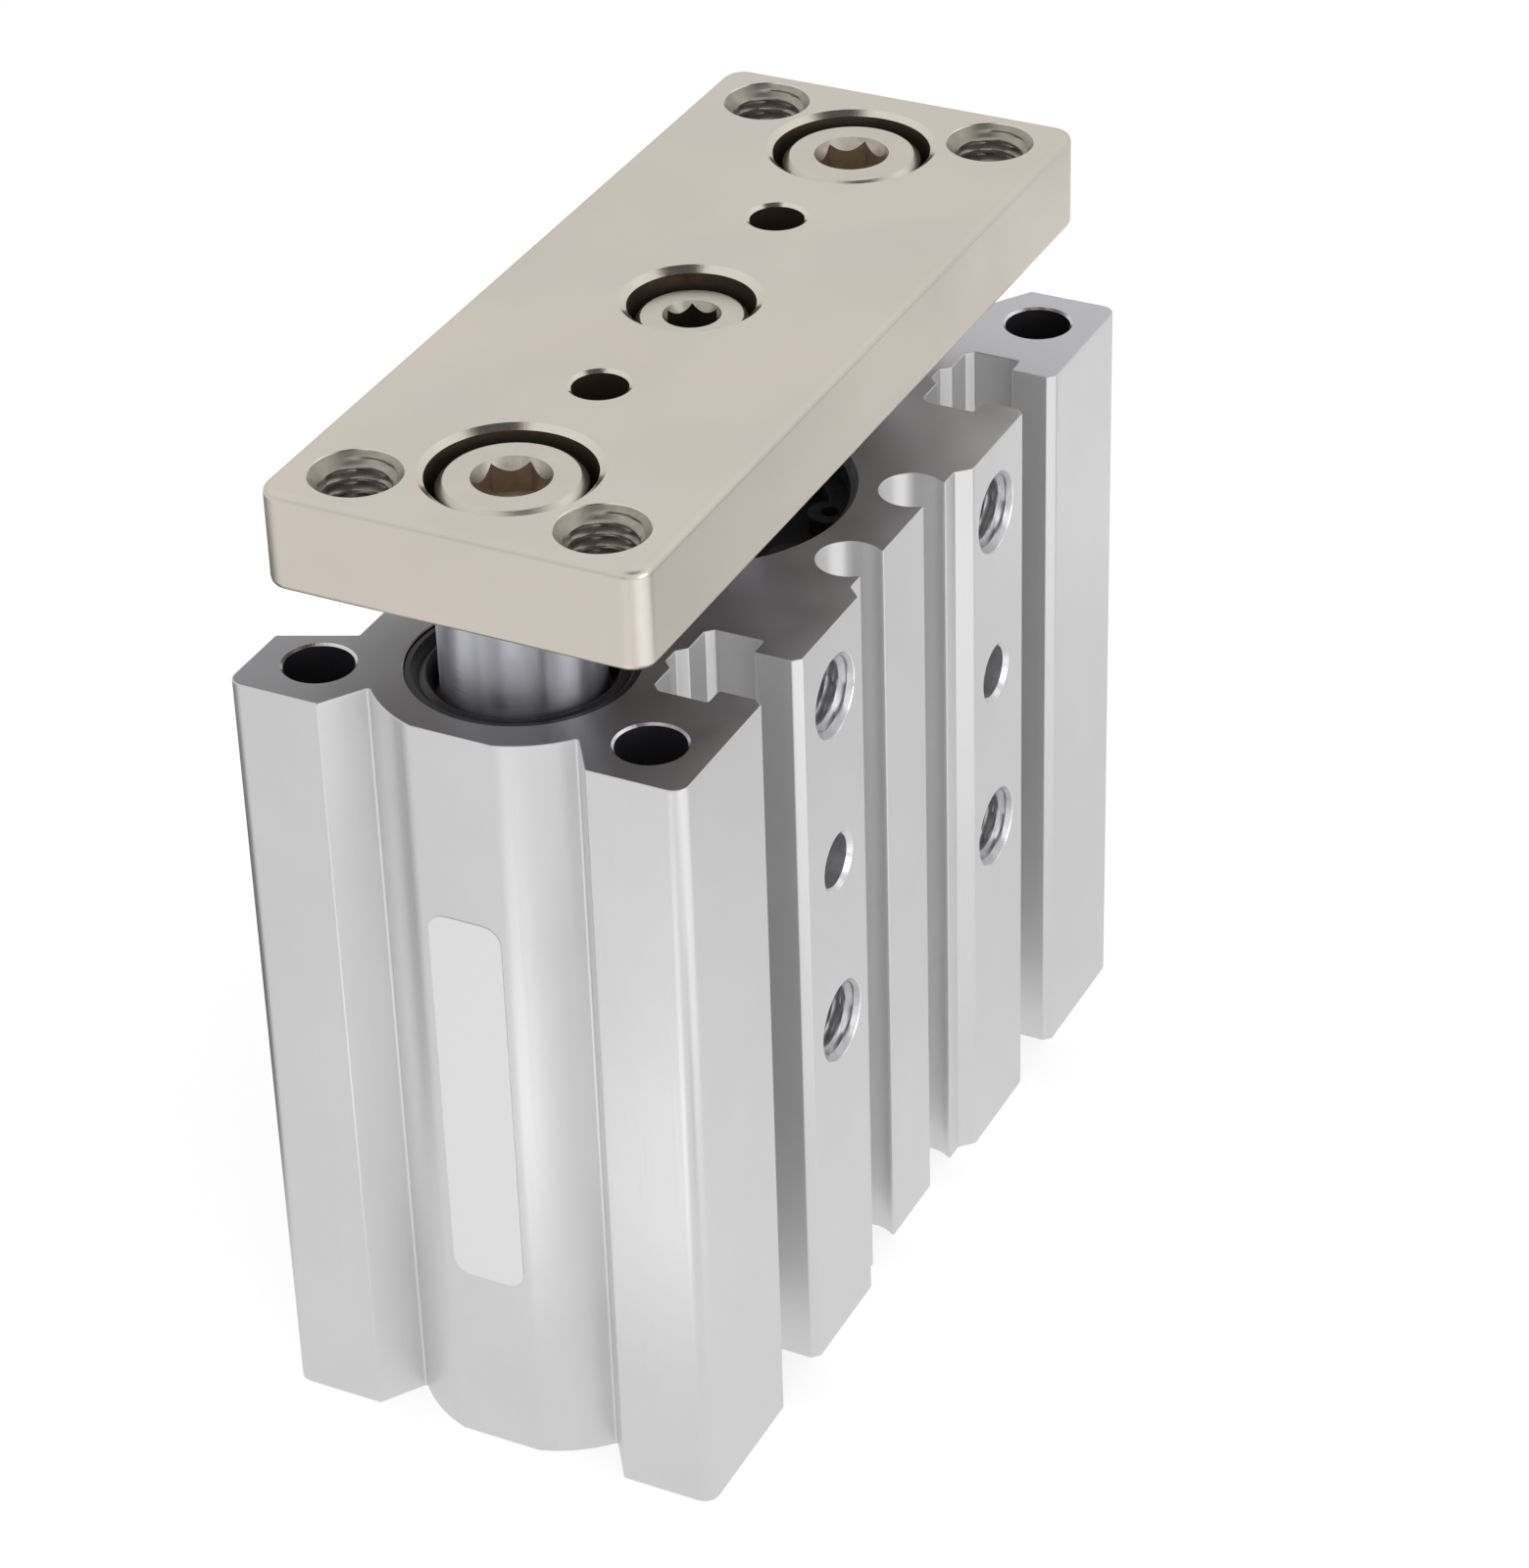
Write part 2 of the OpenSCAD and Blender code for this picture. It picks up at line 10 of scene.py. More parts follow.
import json
import logging
import math
from collections.abc import Iterator, Sequence
from dataclasses import dataclass
from enum import Enum

import bmesh
import bpy
from mathutils import Euler, Matrix, Vector


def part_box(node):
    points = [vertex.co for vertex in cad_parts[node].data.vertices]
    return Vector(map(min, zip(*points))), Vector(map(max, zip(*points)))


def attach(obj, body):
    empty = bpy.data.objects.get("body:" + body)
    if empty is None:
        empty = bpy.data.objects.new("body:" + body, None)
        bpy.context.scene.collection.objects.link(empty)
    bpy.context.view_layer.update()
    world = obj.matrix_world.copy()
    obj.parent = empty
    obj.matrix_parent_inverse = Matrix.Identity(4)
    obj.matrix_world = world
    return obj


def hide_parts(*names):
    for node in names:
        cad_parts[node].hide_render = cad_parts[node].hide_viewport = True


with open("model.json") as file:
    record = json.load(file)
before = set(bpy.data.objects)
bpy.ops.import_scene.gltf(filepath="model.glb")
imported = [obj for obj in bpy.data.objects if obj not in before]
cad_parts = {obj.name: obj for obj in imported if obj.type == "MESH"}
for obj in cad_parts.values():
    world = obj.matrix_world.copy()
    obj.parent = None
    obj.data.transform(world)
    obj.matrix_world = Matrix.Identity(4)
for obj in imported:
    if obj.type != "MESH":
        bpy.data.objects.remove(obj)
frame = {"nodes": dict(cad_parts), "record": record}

MM = 0.001
LOG = logging.getLogger("guided_cylinder")

Colour = tuple[float, float, float]
Socket = bpy.types.NodeSocket


class Body(Enum):
    """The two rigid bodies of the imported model."""

    CYLINDER = "cylinder"
    CARRIAGE = "carriage"


class Side(Enum):
    """The two guide rods, by the sign of their X."""

    LEFT = "left"
    RIGHT = "right"


class Axis(Enum):
    """A coordinate axis, by its place in a vector."""

    X = 0
    Y = 1
    Z = 2


class Facing(Enum):
    """The way that a hole opens, as the turn about X that brings +Z there, in degrees."""

    TOP = 0
    FRONT = 90
    BOTTOM = 180
    REAR = -90

    def place(self, point: Sequence[float]) -> Matrix:
        """The matrix that puts a form made on +Z at a point, opening this way."""
        return Matrix.Translation(point) @ Matrix.Rotation(math.radians(self.value), 4, "X")

    def axes(self) -> tuple[Axis, Axis]:
        """The axis that it faces along, and the other one of Y and Z."""
        return (Axis.Y, Axis.Z) if self in (Facing.FRONT, Facing.REAR) else (Axis.Z, Axis.Y)


# ---------------------------------------------------------------------------------------------
# Finishes
# ---------------------------------------------------------------------------------------------


class NodeGraph:
    """A node tree of any kind, with short calls that add its nodes."""

    def __init__(self, tree: bpy.types.NodeTree) -> None:
        """Starts on a tree and empties it."""
        self.tree = tree
        tree.nodes.clear()

    def node(self, kind: str, inputs: dict | None = None, **settings: object) -> bpy.types.Node:
        """Adds a node.

        Args:
            kind: Blender's type name of the node.
            inputs: socket name or number to a socket to link, or a plain value to set.
            settings: the node's own settings.

        Returns:
            The new node.
        """
        made = self.tree.nodes.new(kind)
        for key, value in settings.items():
            setattr(made, key, value)
        for key, value in (inputs or {}).items():
            if isinstance(value, Socket):
                self.tree.links.new(value, made.inputs[key])
            else:
                made.inputs[key].default_value = value
        return made

    def math(self, operation: str, *values: object) -> Socket:
        """One Math node on sockets or plain numbers."""
        return self.node("ShaderNodeMath", dict(enumerate(values)), operation=operation).outputs[0]


class Shading(NodeGraph):
    """The tree of a material or a world, with the patterns that the finishes share."""

    def vector(self, operation: str, *values: object) -> bpy.types.Node:
        """One Vector Math node on sockets or plain vectors."""
        return self.node("ShaderNodeVectorMath", dict(enumerate(values)), operation=operation)

    def scaled(self, vector: Socket, scale: Colour, shift: Colour = (0, 0, 0)) -> Socket:
        """The vector moved by shift and then stretched by scale on each axis."""
        moved = self.vector("SUBTRACT", vector, shift).outputs[0]
        return self.vector("MULTIPLY", moved, scale).outputs[0]

    def noise(self, vector: Socket, size: float, detail: float) -> Socket:
        """Fractal noise from 0 to 1 on the vector, with features of about this size."""
        inputs = {"Vector": vector, "Scale": 1 / size, "Detail": detail}
        return self.node("ShaderNodeTexNoise", inputs).outputs["Fac"]

    def grain(self, vector: Socket, sizes: Colour, detail: float) -> Socket:
        """Noise with features of a size of its own on each axis."""
        return self.noise(self.scaled(vector, tuple(1 / size for size in sizes)), 1, detail)

    def spread(self, value: Socket, low: float, high: float) -> Socket:
        """Maps the middle of a noise, 0.25 to 0.75, onto low to high."""
        inputs = {"Value": value, "From Min": 0.25, "From Max": 0.75, "To Min": low, "To Max": high}
        return self.node("ShaderNodeMapRange", inputs).outputs["Result"]

    def mixed(self, first: Socket, part: float, second: Socket, rest: float) -> Socket:
        """The sum of two values, each times its own weight."""
        return self.math("MULTIPLY_ADD", first, part, self.math("MULTIPLY", second, rest))

    def ripples(
        self, length: Socket, place: Socket, size: float, sway: float, pitch: float
    ) -> Socket:
        """Tool marks as a wave from 0 to 1.

        Args:
            length: the length along which they follow each other.
            place: the coordinates of the noise that makes them sway.
            size: the size of that noise.
            sway: how far they sway, as a part of the pitch.
            pitch: their distance from each other.

        Returns:
            The height of the marks.
        """
        swayed = self.math("MULTIPLY_ADD", self.noise(place, size, 2), sway * pitch, length)
        turn = self.math("MULTIPLY", self.math("DIVIDE", swayed, pitch), math.tau)
        return self.math("MULTIPLY_ADD", self.math("SINE", turn), 0.5, 0.5)

    def blend(self, share: object, first: object, second: object) -> Socket:
        """Mixes two colours.

        Args:
            share: how much of the second there is, from 0 to 1.
            first: a socket or (r, g, b).
            second: the same.

        Returns:
            The mixed colour.
        """
        colours = [c if isinstance(c, Socket) else (*c, 1) for c in (first, second)]
        inputs = {0: share, 6: colours[0], 7: colours[1]}
        return self.node("ShaderNodeMix", inputs, data_type="RGBA").outputs[2]

    def bump(self, height: Socket, depth: float) -> Socket:
        """A normal bent by a height map that stands for this depth in metres."""
        return self.node("ShaderNodeBump", {"Height": height, "Distance": depth}).outputs["Normal"]

    def tangent(self, axis: Axis) -> Socket:
        """The way round an axis, along which a brushed surface spreads its gloss."""
        node = self.node("ShaderNodeTangent", direction_type="RADIAL", axis=axis.name)
        return node.outputs[0]


def new_material(name: str) -> tuple[bpy.types.Material, Shading]:
    """Makes a material.

    Args:
        name: its name.

    Returns:
        The material and its empty node tree.
    """
    material = bpy.data.materials.new(name)
    material.use_nodes = True
    return material, Shading(material.node_tree)


def shade(colour: Colour, factor: float) -> Colour:
    """The colour made lighter or darker by a factor, kept below 1."""
    return tuple(min(c * factor, 1.0) for c in colour)


@dataclass(frozen=True)
class Finish:
    """A surface finish: the record's slot, the colour in linear light and the roughness."""

    slot: str
    colour: Colour
    roughness: float
    metallic: float = 0.0

    def material(self) -> bpy.types.Material:
        """The finish as a material, built once and then shared.

        Returns:
            The material, with a Principled shader on this finish's own patterns.
        """
        name = f"{self.slot}_finish"
        if name in bpy.data.materials:
            return bpy.data.materials[name]
        material, graph = new_material(name)
        place = graph.node("ShaderNodeTexCoord").outputs["Object"]
        plain = {"Metallic": self.metallic, "Roughness": self.roughness}
        shader = graph.node("ShaderNodeBsdfPrincipled", plain | self.inputs(graph, place))
        graph.node("ShaderNodeOutputMaterial", {"Surface": shader.outputs[0]})
        return material

    def inputs(self, graph: Shading, place: Socket) -> dict:
        """Adds this finish's own nodes.

        Args:
            graph: the material's nodes.
            place: object coordinates, in metres in the model's frame.

        Returns:
            The shader's inputs that they feed.
        """
        raise NotImplementedError

    def tones(self, graph: Shading, share: Socket, low: float, high: float) -> Socket:
        """The colour times low to high, by a share from 0 to 1."""
        return graph.blend(share, shade(self.colour, low), shade(self.colour, high))

    def drift(self, graph: Shading, noise: Socket, low: float, high: float) -> Socket:
        """The colour times low to high, by a noise."""
        return self.tones(graph, graph.spread(noise, 0, 1), low, high)

    def gloss(self, graph: Shading, noise: Socket, low: float, high: float) -> Socket:
        """The roughness plus low to high, by a noise."""
        return graph.spread(noise, self.roughness + low, self.roughness + high)


@dataclass(frozen=True)
class DrawnAluminium(Finish):
    """Clear-anodised extrusion: die lines along the length, soft mottling and satin gloss."""

    metallic: float = 0.85
    line_width: float = 0.25 * MM
    line_length: float = 60 * MM
    mottle: float = 7 * MM
    grain: float = 0.08 * MM
    relief: float = 0.004 * MM

    def inputs(self, graph: Shading, place: Socket) -> dict:
        """Streaks along Z carry the gloss and the bump, and a wide noise shades the colour.

        Args:
            graph: the material's nodes.
            place: object coordinates.

        Returns:
            The shader's inputs.
        """
        streaks = graph.grain(place, (self.line_width, self.line_width, self.line_length), 4)
        cloud = graph.noise(place, self.mottle, 3)
        relief = graph.math("MULTIPLY_ADD", graph.noise(place, self.grain, 2), 0.4, streaks)
        return {
            "Base Color": self.drift(graph, graph.mixed(streaks, 0.35, cloud, 0.65), 0.965, 1.03),
            "Roughness": self.gloss(graph, streaks, -0.05, 0.06),
            "Normal": graph.bump(relief, self.relief),
        }


@dataclass(frozen=True)
class PlatedSteel(Finish):
    """Nickel plate over ground steel: a warm satin with cloudy tone and fine pits."""

    metallic: float = 0.9
    cloud: float = 9 * MM
    pits: float = 0.12 * MM
    line_width: float = 0.12 * MM
    line_length: float = 8 * MM
    relief: float = 0.004 * MM
    cool: Colour = (0.95, 0.97, 1.0)

    def inputs(self, graph: Shading, place: Socket) -> dict:
        """Clouds shade the colour and the gloss, and grinding lines along X give the bump.

        Args:
            graph: the material's nodes.
            place: object coordinates.

        Returns:
            The shader's inputs.
        """
        cloud = graph.noise(place, self.cloud, 4)
        grinding = graph.grain(place, (self.line_length, self.line_width, self.line_width), 3)
        apart = graph.scaled(place, (1, 1, 1), (0.03, 0.05, 0.07))
        tint = graph.spread(graph.noise(apart, 1.6 * self.cloud, 2), 0, 1)
        cool = tuple(c * t for c, t in zip(self.colour, self.cool))
        colour = graph.blend(tint, cool, shade(self.colour, 1.04))
        relief = graph.mixed(grinding, 0.6, graph.noise(place, self.pits, 2), 0.5)
        return {
            "Base Color": graph.blend(graph.spread(cloud, 0, 0.4), colour, shade(self.colour, 0.9)),
            "Roughness": self.gloss(graph, graph.mixed(grinding, 0.5, cloud, 0.5), -0.05, 0.06),
            "Normal": graph.bump(relief, self.relief),
        }


@dataclass(frozen=True)
class GroundChrome(Finish):
    """Hard chrome on a ground rod: hair-fine rings round it, and soft bands along it that are
    painted reflections in its colour.
    """

    metallic: float = 1.0
    ring: float = 0.06 * MM
    ring_length: float = 4 * MM
    streak: float = 2.6 * MM
    relief: float = 0.0003 * MM

    def inputs(self, graph: Shading, place: Socket) -> dict:
        """Streaks along the rod are painted reflections in the colour; rings carry a very small
        bump and a slight change of gloss.

        Args:
            graph: the material's nodes.
            place: object coordinates.

        Returns:
            The shader's inputs.
        """
        rings = graph.grain(place, (self.ring_length, self.ring_length, self.ring), 3)
        # painted reflection: long bands along the rod swing the chrome's colour from 0.52 to 1.25
        # of itself
        streaks = graph.noise(graph.scaled(place, (1, 1, 0.08)), self.streak, 2)
        return {
            "Base Color": self.drift(graph, streaks, 0.52, 1.25),
            "Roughness": self.gloss(graph, rings, -0.03, 0.04),
            "Anisotropic": 1.0,
            "Anisotropic Rotation": 0.25,
            "Tangent": graph.tangent(Axis.Z),
            "Normal": graph.bump(rings, self.relief),
        }


@dataclass(frozen=True)
class TurnedMetal(Finish):
    """Metal turned on a lathe: tool rings round an upright axis, on faces and walls alike."""

    metallic: float = 1.0
    pitch: float = 0.14 * MM
    relief: float = 0.0025 * MM
    axes_x: tuple[float, ...] = (0.0,)

    def inputs(self, graph: Shading, place: Socket) -> dict:
        """Rings by the distance from the nearest of the parts' axes, plus rings along Z.

        Args:
            graph: the material's nodes.
            place: object coordinates.

        Returns:
            The shader's inputs.
        """
        x, y, z = graph.node("ShaderNodeSeparateXYZ", {0: place}).outputs
        offsets = [graph.math("ABSOLUTE", graph.math("SUBTRACT", x, axis)) for axis in self.axes_x]
        nearest = offsets[0]
        for offset in offsets[1:]:
            nearest = graph.math("MINIMUM", nearest, offset)
        squares = [graph.math("MULTIPLY", side, side) for side in (nearest, y)]
        radius = graph.math("POWER", graph.math("ADD", *squares), 0.5)
        rings = graph.ripples(graph.math("ADD", radius, z), place, 0.6 * MM, 0.8, self.pitch)
        haze = graph.noise(place, 2.5 * MM, 3)
        return {
            "Base Color": self.drift(graph, haze, 0.95, 1.04),
            "Roughness": self.gloss(graph, haze, -0.05, 0.05),
            "Normal": graph.bump(rings, self.relief),
        }


@dataclass(frozen=True)
class MilledFace(Finish):
    """A milled end of the extrusion: long shallow arcs along X, so that gloss spreads along Y."""

    metallic: float = 1.0
    feed: float = 0.22 * MM
    centre: tuple[float, float] = (12 * MM, 110 * MM)
    half_length: float = 32 * MM
    relief: float = 0.0008 * MM

    def inputs(self, graph: Shading, place: Socket) -> dict:
        """Arcs round a far centre carry the bump; the colour is painted shade, darker towards -X
        and lighter towards +X.

        Args:
            graph: the material's nodes.
            place: object coordinates.

        Returns:
            The shader's inputs.
        """
        away = graph.scaled(place, (1, 1, 0), (*self.centre, 0))
        radius = graph.vector("LENGTH", away).outputs["Value"]
        arcs = graph.ripples(radius, place, 1.5 * MM, 0.5, self.feed)
        haze = graph.noise(place, 4 * MM, 3)
        along = graph.node("ShaderNodeSeparateXYZ", {0: place}).outputs[Axis.X.value]
        # painted shade: a ramp along X that darkens the colour towards -X and lightens it towards
        # +X
        painted_shade_ramp = graph.math("MULTIPLY_ADD", along, 0.5 / self.half_length, 0.5)
        tone = graph.math("ADD", painted_shade_ramp, graph.math("MULTIPLY_ADD", haze, 0.16, -0.08))
        return {
            "Base Color": self.tones(graph, tone, 0.70, 1.30),
            "Roughness": self.gloss(graph, haze, -0.04, 0.05),
            "Anisotropic": 0.9,
            "Tangent": graph.tangent(Axis.X),
            "Normal": graph.bump(arcs, self.relief),
        }


@dataclass(frozen=True)
class FilmedMetal(Finish):
    """Dull metal under a thin blotchy film, on hole walls and on a spring's phosphate; the darkest
    hole walls carry painted shade.
    """

    metallic: float = 0.8
    blotch: float = 0.9 * MM
    detail: float = 4
    contrast: float = 0.2
    dulling: float = 0.06
    grain: float = 0.07 * MM
    relief: float = 0.003 * MM

    def inputs(self, graph: Shading, place: Socket) -> dict:
        """The film moves the colour and the gloss, and grain makes the bump.

        Args:
            graph: the material's nodes.
            place: object coordinates.

        Returns:
            The shader's inputs.
        """
        film = graph.noise(place, self.blotch, self.detail)
        return {
            "Base Color": self.drift(graph, film, 1 - self.contrast, 1 + self.contrast),
            "Roughness": self.gloss(graph, film, self.dulling, -0.06),
            "Normal": graph.bump(graph.noise(place, self.grain, 2), self.relief),
        }


@dataclass(frozen=True)
class SinteredBronze(Finish):
    """Oil-soaked sintered bronze: open pores and darker oil in them."""

    metallic: float = 0.8
    pore: float = 0.16 * MM
    relief: float = 0.01 * MM

    def inputs(self, graph: Shading, place: Socket) -> dict:
        """Cells stand for the pores, which are darker and lie lower.

        Args:
            graph: the material's nodes.
            place: object coordinates.

        Returns:
            The shader's inputs.
        """
        voronoi = graph.node("ShaderNodeTexVoronoi", {"Vector": place, "Scale": 1 / self.pore})
        cells = voronoi.outputs["Distance"]
        stain = graph.spread(graph.noise(place, 2 * MM, 3), 0.7, 1.2)
        return {
            "Base Color": self.tones(graph, graph.math("MULTIPLY", cells, stain), 1.1, 0.45),
            "Normal": graph.bump(cells, -self.relief),
        }


@dataclass(frozen=True)
class MouldedPolymer(Finish):
    """Moulded rubber, resin or urethane: a fine spark-eroded grain and slight flow marks."""

    grain: float = 0.09 * MM
    relief: float = 0.006 * MM
    sheen: float = 0.0

    def inputs(self, graph: Shading, place: Socket) -> dict:
        """Fine grain for the bump, with wide flow marks in colour and gloss.

        Args:
            graph: the material's nodes.
            place: object coordinates.

        Returns:
            The shader's inputs.
        """
        flow = graph.noise(graph.scaled(place, (1, 1, 0.4)), 3 * MM, 3)
        return {
            "Base Color": self.drift(graph, flow, 0.85, 1.2),
            "Roughness": self.gloss(graph, flow, -0.06, 0.06),
            "Sheen Weight": self.sheen,
            "Normal": graph.bump(graph.noise(place, self.grain, 3), self.relief),
        }


@dataclass(frozen=True)
class OiledFelt(Finish):
    """Pressed wool felt, dark with oil: matted fibres that run every way."""

    fibre: float = 0.09 * MM
    relief: float = 0.05 * MM

    def inputs(self, graph: Shading, place: Socket) -> dict:
        """Two stretched noises cross each other as matted fibres.

        Args:
            graph: the material's nodes.
            place: object coordinates.

        Returns:
            The shader's inputs.
        """
        fine, long = self.fibre, 6 * self.fibre
        ways = [graph.grain(place, sizes, 4) for sizes in ((fine, long, fine), (long, fine, fine))]
        mat = graph.math("MAXIMUM", *ways)
        return {
            "Base Color": self.drift(graph, mat, 0.5, 1.3),
            "Sheen Weight": 0.3,
            "Normal": graph.bump(mat, self.relief),
        }


@dataclass(frozen=True)
class LabelFilm(Finish):
    """Blank polyester label: a smooth white film that shows the satin of the metal under it."""

    relief: float = 0.006 * MM

    def inputs(self, graph: Shading, place: Socket) -> dict:
        """A faint paper grain with a clear coat on top.

        Args:
            graph: the material's nodes.
            place: object coordinates.

        Returns:
            The shader's inputs.
        """
        wave = graph.noise(graph.scaled(place, (1, 1, 0.3)), 4 * MM, 2)
        return {
            "Base Color": self.drift(graph, graph.noise(place, 0.2 * MM, 3), 0.985, 1.0),
            "Roughness": self.gloss(graph, wave, -0.05, 0.05),
            "Coat Weight": 0.25,
            "Coat Roughness": 0.2,
            "Normal": graph.bump(wave, self.relief),
        }


GUIDE_X = 23 * MM

ANODISED = DrawnAluminium("body_anodised", (0.77, 0.77, 0.775), 0.38)
NICKEL = PlatedSteel("plate_nickel", (0.79, 0.718, 0.635), 0.36)
CHROME = GroundChrome("rod_chrome", (0.72, 0.72, 0.785), 0.30)
BOLT = TurnedMetal("bolt_nickel", (0.745, 0.69, 0.61), 0.30, axes_x=(-GUIDE_X, 0.0, GUIDE_X))
# the alloy's own tone, darkened further as painted shade for the parts deep in the bore
COVER_WITH_SHADE = TurnedMetal("cover_alloy", (0.34, 0.34, 0.35), 0.35)
RUBBER = MouldedPolymer("seal_rubber", (0.022, 0.022, 0.024), 0.55, sheen=0.1)
# dark phosphate, made darker still as painted shade for the rings in the bore pocket
SPRING_FILM_AND_SHADE = FilmedMetal(
    "spring_steel", (0.03, 0.03, 0.032), 0.5, metallic=0.7, blotch=0.7 * MM, detail=5, contrast=0.3,
    dulling=0.08, grain=0.05 * MM, relief=0.004 * MM,
)
BRONZE = SinteredBronze("bearing_bronze", (0.42, 0.27, 0.12), 0.42)
FELT = OiledFelt("felt", (0.17, 0.14, 0.09), 0.95)
RESIN = MouldedPolymer("holder_resin", (0.016, 0.016, 0.018), 0.32, relief=0.003 * MM)
FILM = LabelFilm("label_film", (0.86, 0.86, 0.87), 0.42)
MAGNET = MouldedPolymer("magnet", (0.045, 0.045, 0.05), 0.6)
URETHANE = MouldedPolymer("bumper_urethane", (0.48, 0.26, 0.05), 0.35, relief=0.002 * MM)

# painted shade: the milled ends are darker than bare cut aluminium, standing in for the shade under
# the plate
MILLED_WITH_SHADE = MilledFace("milled_aluminium_painted_shade", (0.51, 0.51, 0.525), 0.34)
CUT = TurnedMetal("cut_aluminium", (0.80, 0.80, 0.81), 0.22, pitch=0.2 * MM)
# painted shade: near black, for the shade deep in drilled holes and bores
DRILLED_SHADE = FilmedMetal("drilled_wall_painted_shade", (0.06, 0.06, 0.068), 0.5)
REAMED = FilmedMetal("reamed_wall", (0.60, 0.60, 0.61), 0.3)
# painted shade: the collar deep in the bore pocket, near black for the shade under the plate
COLLAR_SHADE = TurnedMetal("collar_painted_shade", (0.02, 0.02, 0.022), 0.45)
THREAD = FilmedMetal("thread_flank", (0.55, 0.55, 0.56), 0.36)
PLATE_CUT = PlatedSteel("plate_cut", (0.86, 0.78, 0.68), 0.15, pits=0.5 * MM)
# painted shade: the plate's hole and seat walls near black, for the shade in the gap round the
# bolts
PLATE_WALL_SHADE = FilmedMetal("plate_hole_painted_shade", (0.085, 0.062, 0.045), 0.5)
PLATE_THREAD = FilmedMetal("plate_thread_flank", (0.40, 0.36, 0.31), 0.32)
# painted shade: socket walls darker and browner than the bolt, and the piston rod bolt's deep
# socket near black
SOCKET = FilmedMetal("socket_wall", (0.42, 0.33, 0.25), 0.36)
DEEP_SOCKET_SHADE = FilmedMetal("deep_socket_wall", (0.06, 0.05, 0.04), 0.45)
SOCKET_MOUTH = FilmedMetal("socket_mouth", (0.52, 0.475, 0.42), 0.3, metallic=0.95)

SLOT_FINISHES: dict[str, Finish] = {
    finish.slot: finish
    for finish in (
        ANODISED, NICKEL, CHROME, BOLT, COVER_WITH_SHADE, RUBBER, SPRING_FILM_AND_SHADE,
        BRONZE, FELT, RESIN, FILM, MAGNET, URETHANE,
    )
}


# ---------------------------------------------------------------------------------------------
# Outlines and shells, in millimetres
# ---------------------------------------------------------------------------------------------

WELD = 0.001
STRAIGHT = 0.002
SOFT_TURN = math.radians(28)
SHARP_EDGE = math.radians(35)
DRILL_TIP = math.radians(59)
OVER = 1.0
TO_METRES = Matrix.Scale(MM, 4)

Ring = list[bmesh.types.BMVert]


def box_mm(node: str) -> tuple[Vector, Vector]:
    """The lowest and highest corners of a CAD node, in millimetres."""
    low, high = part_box(node)
    return low / MM, high / MM


def upright(node: str) -> tuple[float, float, float, float]:
    """The axis' X, the outer radius, the lower and the upper end of an upright round CAD node."""
    low, high = box_mm(node)
    return (low.x + high.x) / 2, (high.x - low.x) / 2, low.z, high.z


def outlines_of(node: str, level: float) -> list[list[Vector]]:
    """Reads the edges of the flat top that a CAD node has at a level.

    Args:
        node: the CAD node.
        level: the height of its flat top.

    Returns:
        The outer edge, anticlockwise, and then the edges of its holes, all without points on
        straight lines.
    """
    form = bmesh.new()
    form.from_mesh(frame["nodes"][node].data)
    form.transform(Matrix.Scale(1 / MM, 4))
    bmesh.ops.remove_doubles(form, verts=form.verts, dist=WELD)
    flat = (f for f in form.faces if all(abs(v.co.z - level) < 5 * WELD for v in f.verts))
    top = dict.fromkeys(flat)
    follows = {
        loop.vert: loop.link_loop_next.vert
        for face in top
        for loop in face.loops
        if not any(other in top for other in loop.edge.link_faces if other is not face)
    }
    loops = []
    while follows:
        vert, after = follows.popitem()
        loop = [vert.co.xy.copy()]
        while after in follows:
            loop.append(after.co.xy.copy())
            after = follows.pop(after)
        loops.append(without_straights(loop))
    form.free()
    return sorted(loops, key=lambda loop: -abs(signed_area(loop)))


def signed_area(points: Sequence[Vector]) -> float:
    """The area inside a loop of points, positive when they run anticlockwise."""
    return sum(a.x * b.y - b.x * a.y for a, b in zip(points, [*points[1:], points[0]])) / 2


def corners_of(points: Sequence[Vector]) -> Iterator[tuple[Vector, Vector, Vector]]:
    """Each point of a loop, with the one before it and the one after it."""
    return zip(points, [points[-1], *points[:-1]], [*points[1:], points[0]])


def without_straights(points: Sequence[Vector]) -> list[Vector]:
    """The loop without the points at which it runs straight on.

    Args:
        points: the loop.

    Returns:
        Its corners and the points of its arcs.
    """
    kept = []
    for point, before, after in corners_of(points):
        back, on = point - before, after - point
        if back.length > WELD and abs(back.normalized().cross(on.normalized())) > STRAIGHT:
            kept.append(point)
    return kept


def rectangle(width: float, depth: float) -> list[Vector]:
    """The four corners of a rectangle round the origin, anticlockwise."""
    x, y = width / 2, depth / 2
    return [Vector(p) for p in ((x, -y), (x, y), (-x, y), (-x, -y))]


def corner_arc(
    corner: Vector, before: Vector, after: Vector, radius: float, steps: int
) -> list[Vector]:
    """Rounds one corner between two of its neighbours.

    Args:
        corner: the corner.
        before: the point before it.
        after: the point after it.
        radius: the radius wanted, made smaller where the neighbours are close.
        steps: the number of chords.

    Returns:
        The arc's points, or the corner alone where there is nothing to round.
    """
    back, on = before - corner, after - corner
    turn = math.pi - back.angle(on)
    if turn < 0.01 or radius <= 0:
        return [corner]
    cut = min(radius * math.tan(turn / 2), 0.45 * back.length, 0.45 * on.length)
    back.normalize()
    on.normalize()
    centre = corner + (back + on).normalized() * math.hypot(cut, cut / math.tan(turn / 2))
    start, end = corner + back * cut - centre, corner + on * cut - centre
    arc = []
    for step in range(steps + 1):
        part = turn * step / steps
        arc.append(centre + (start * math.sin(turn - part) + end * math.sin(part)) / math.sin(turn))
    return arc


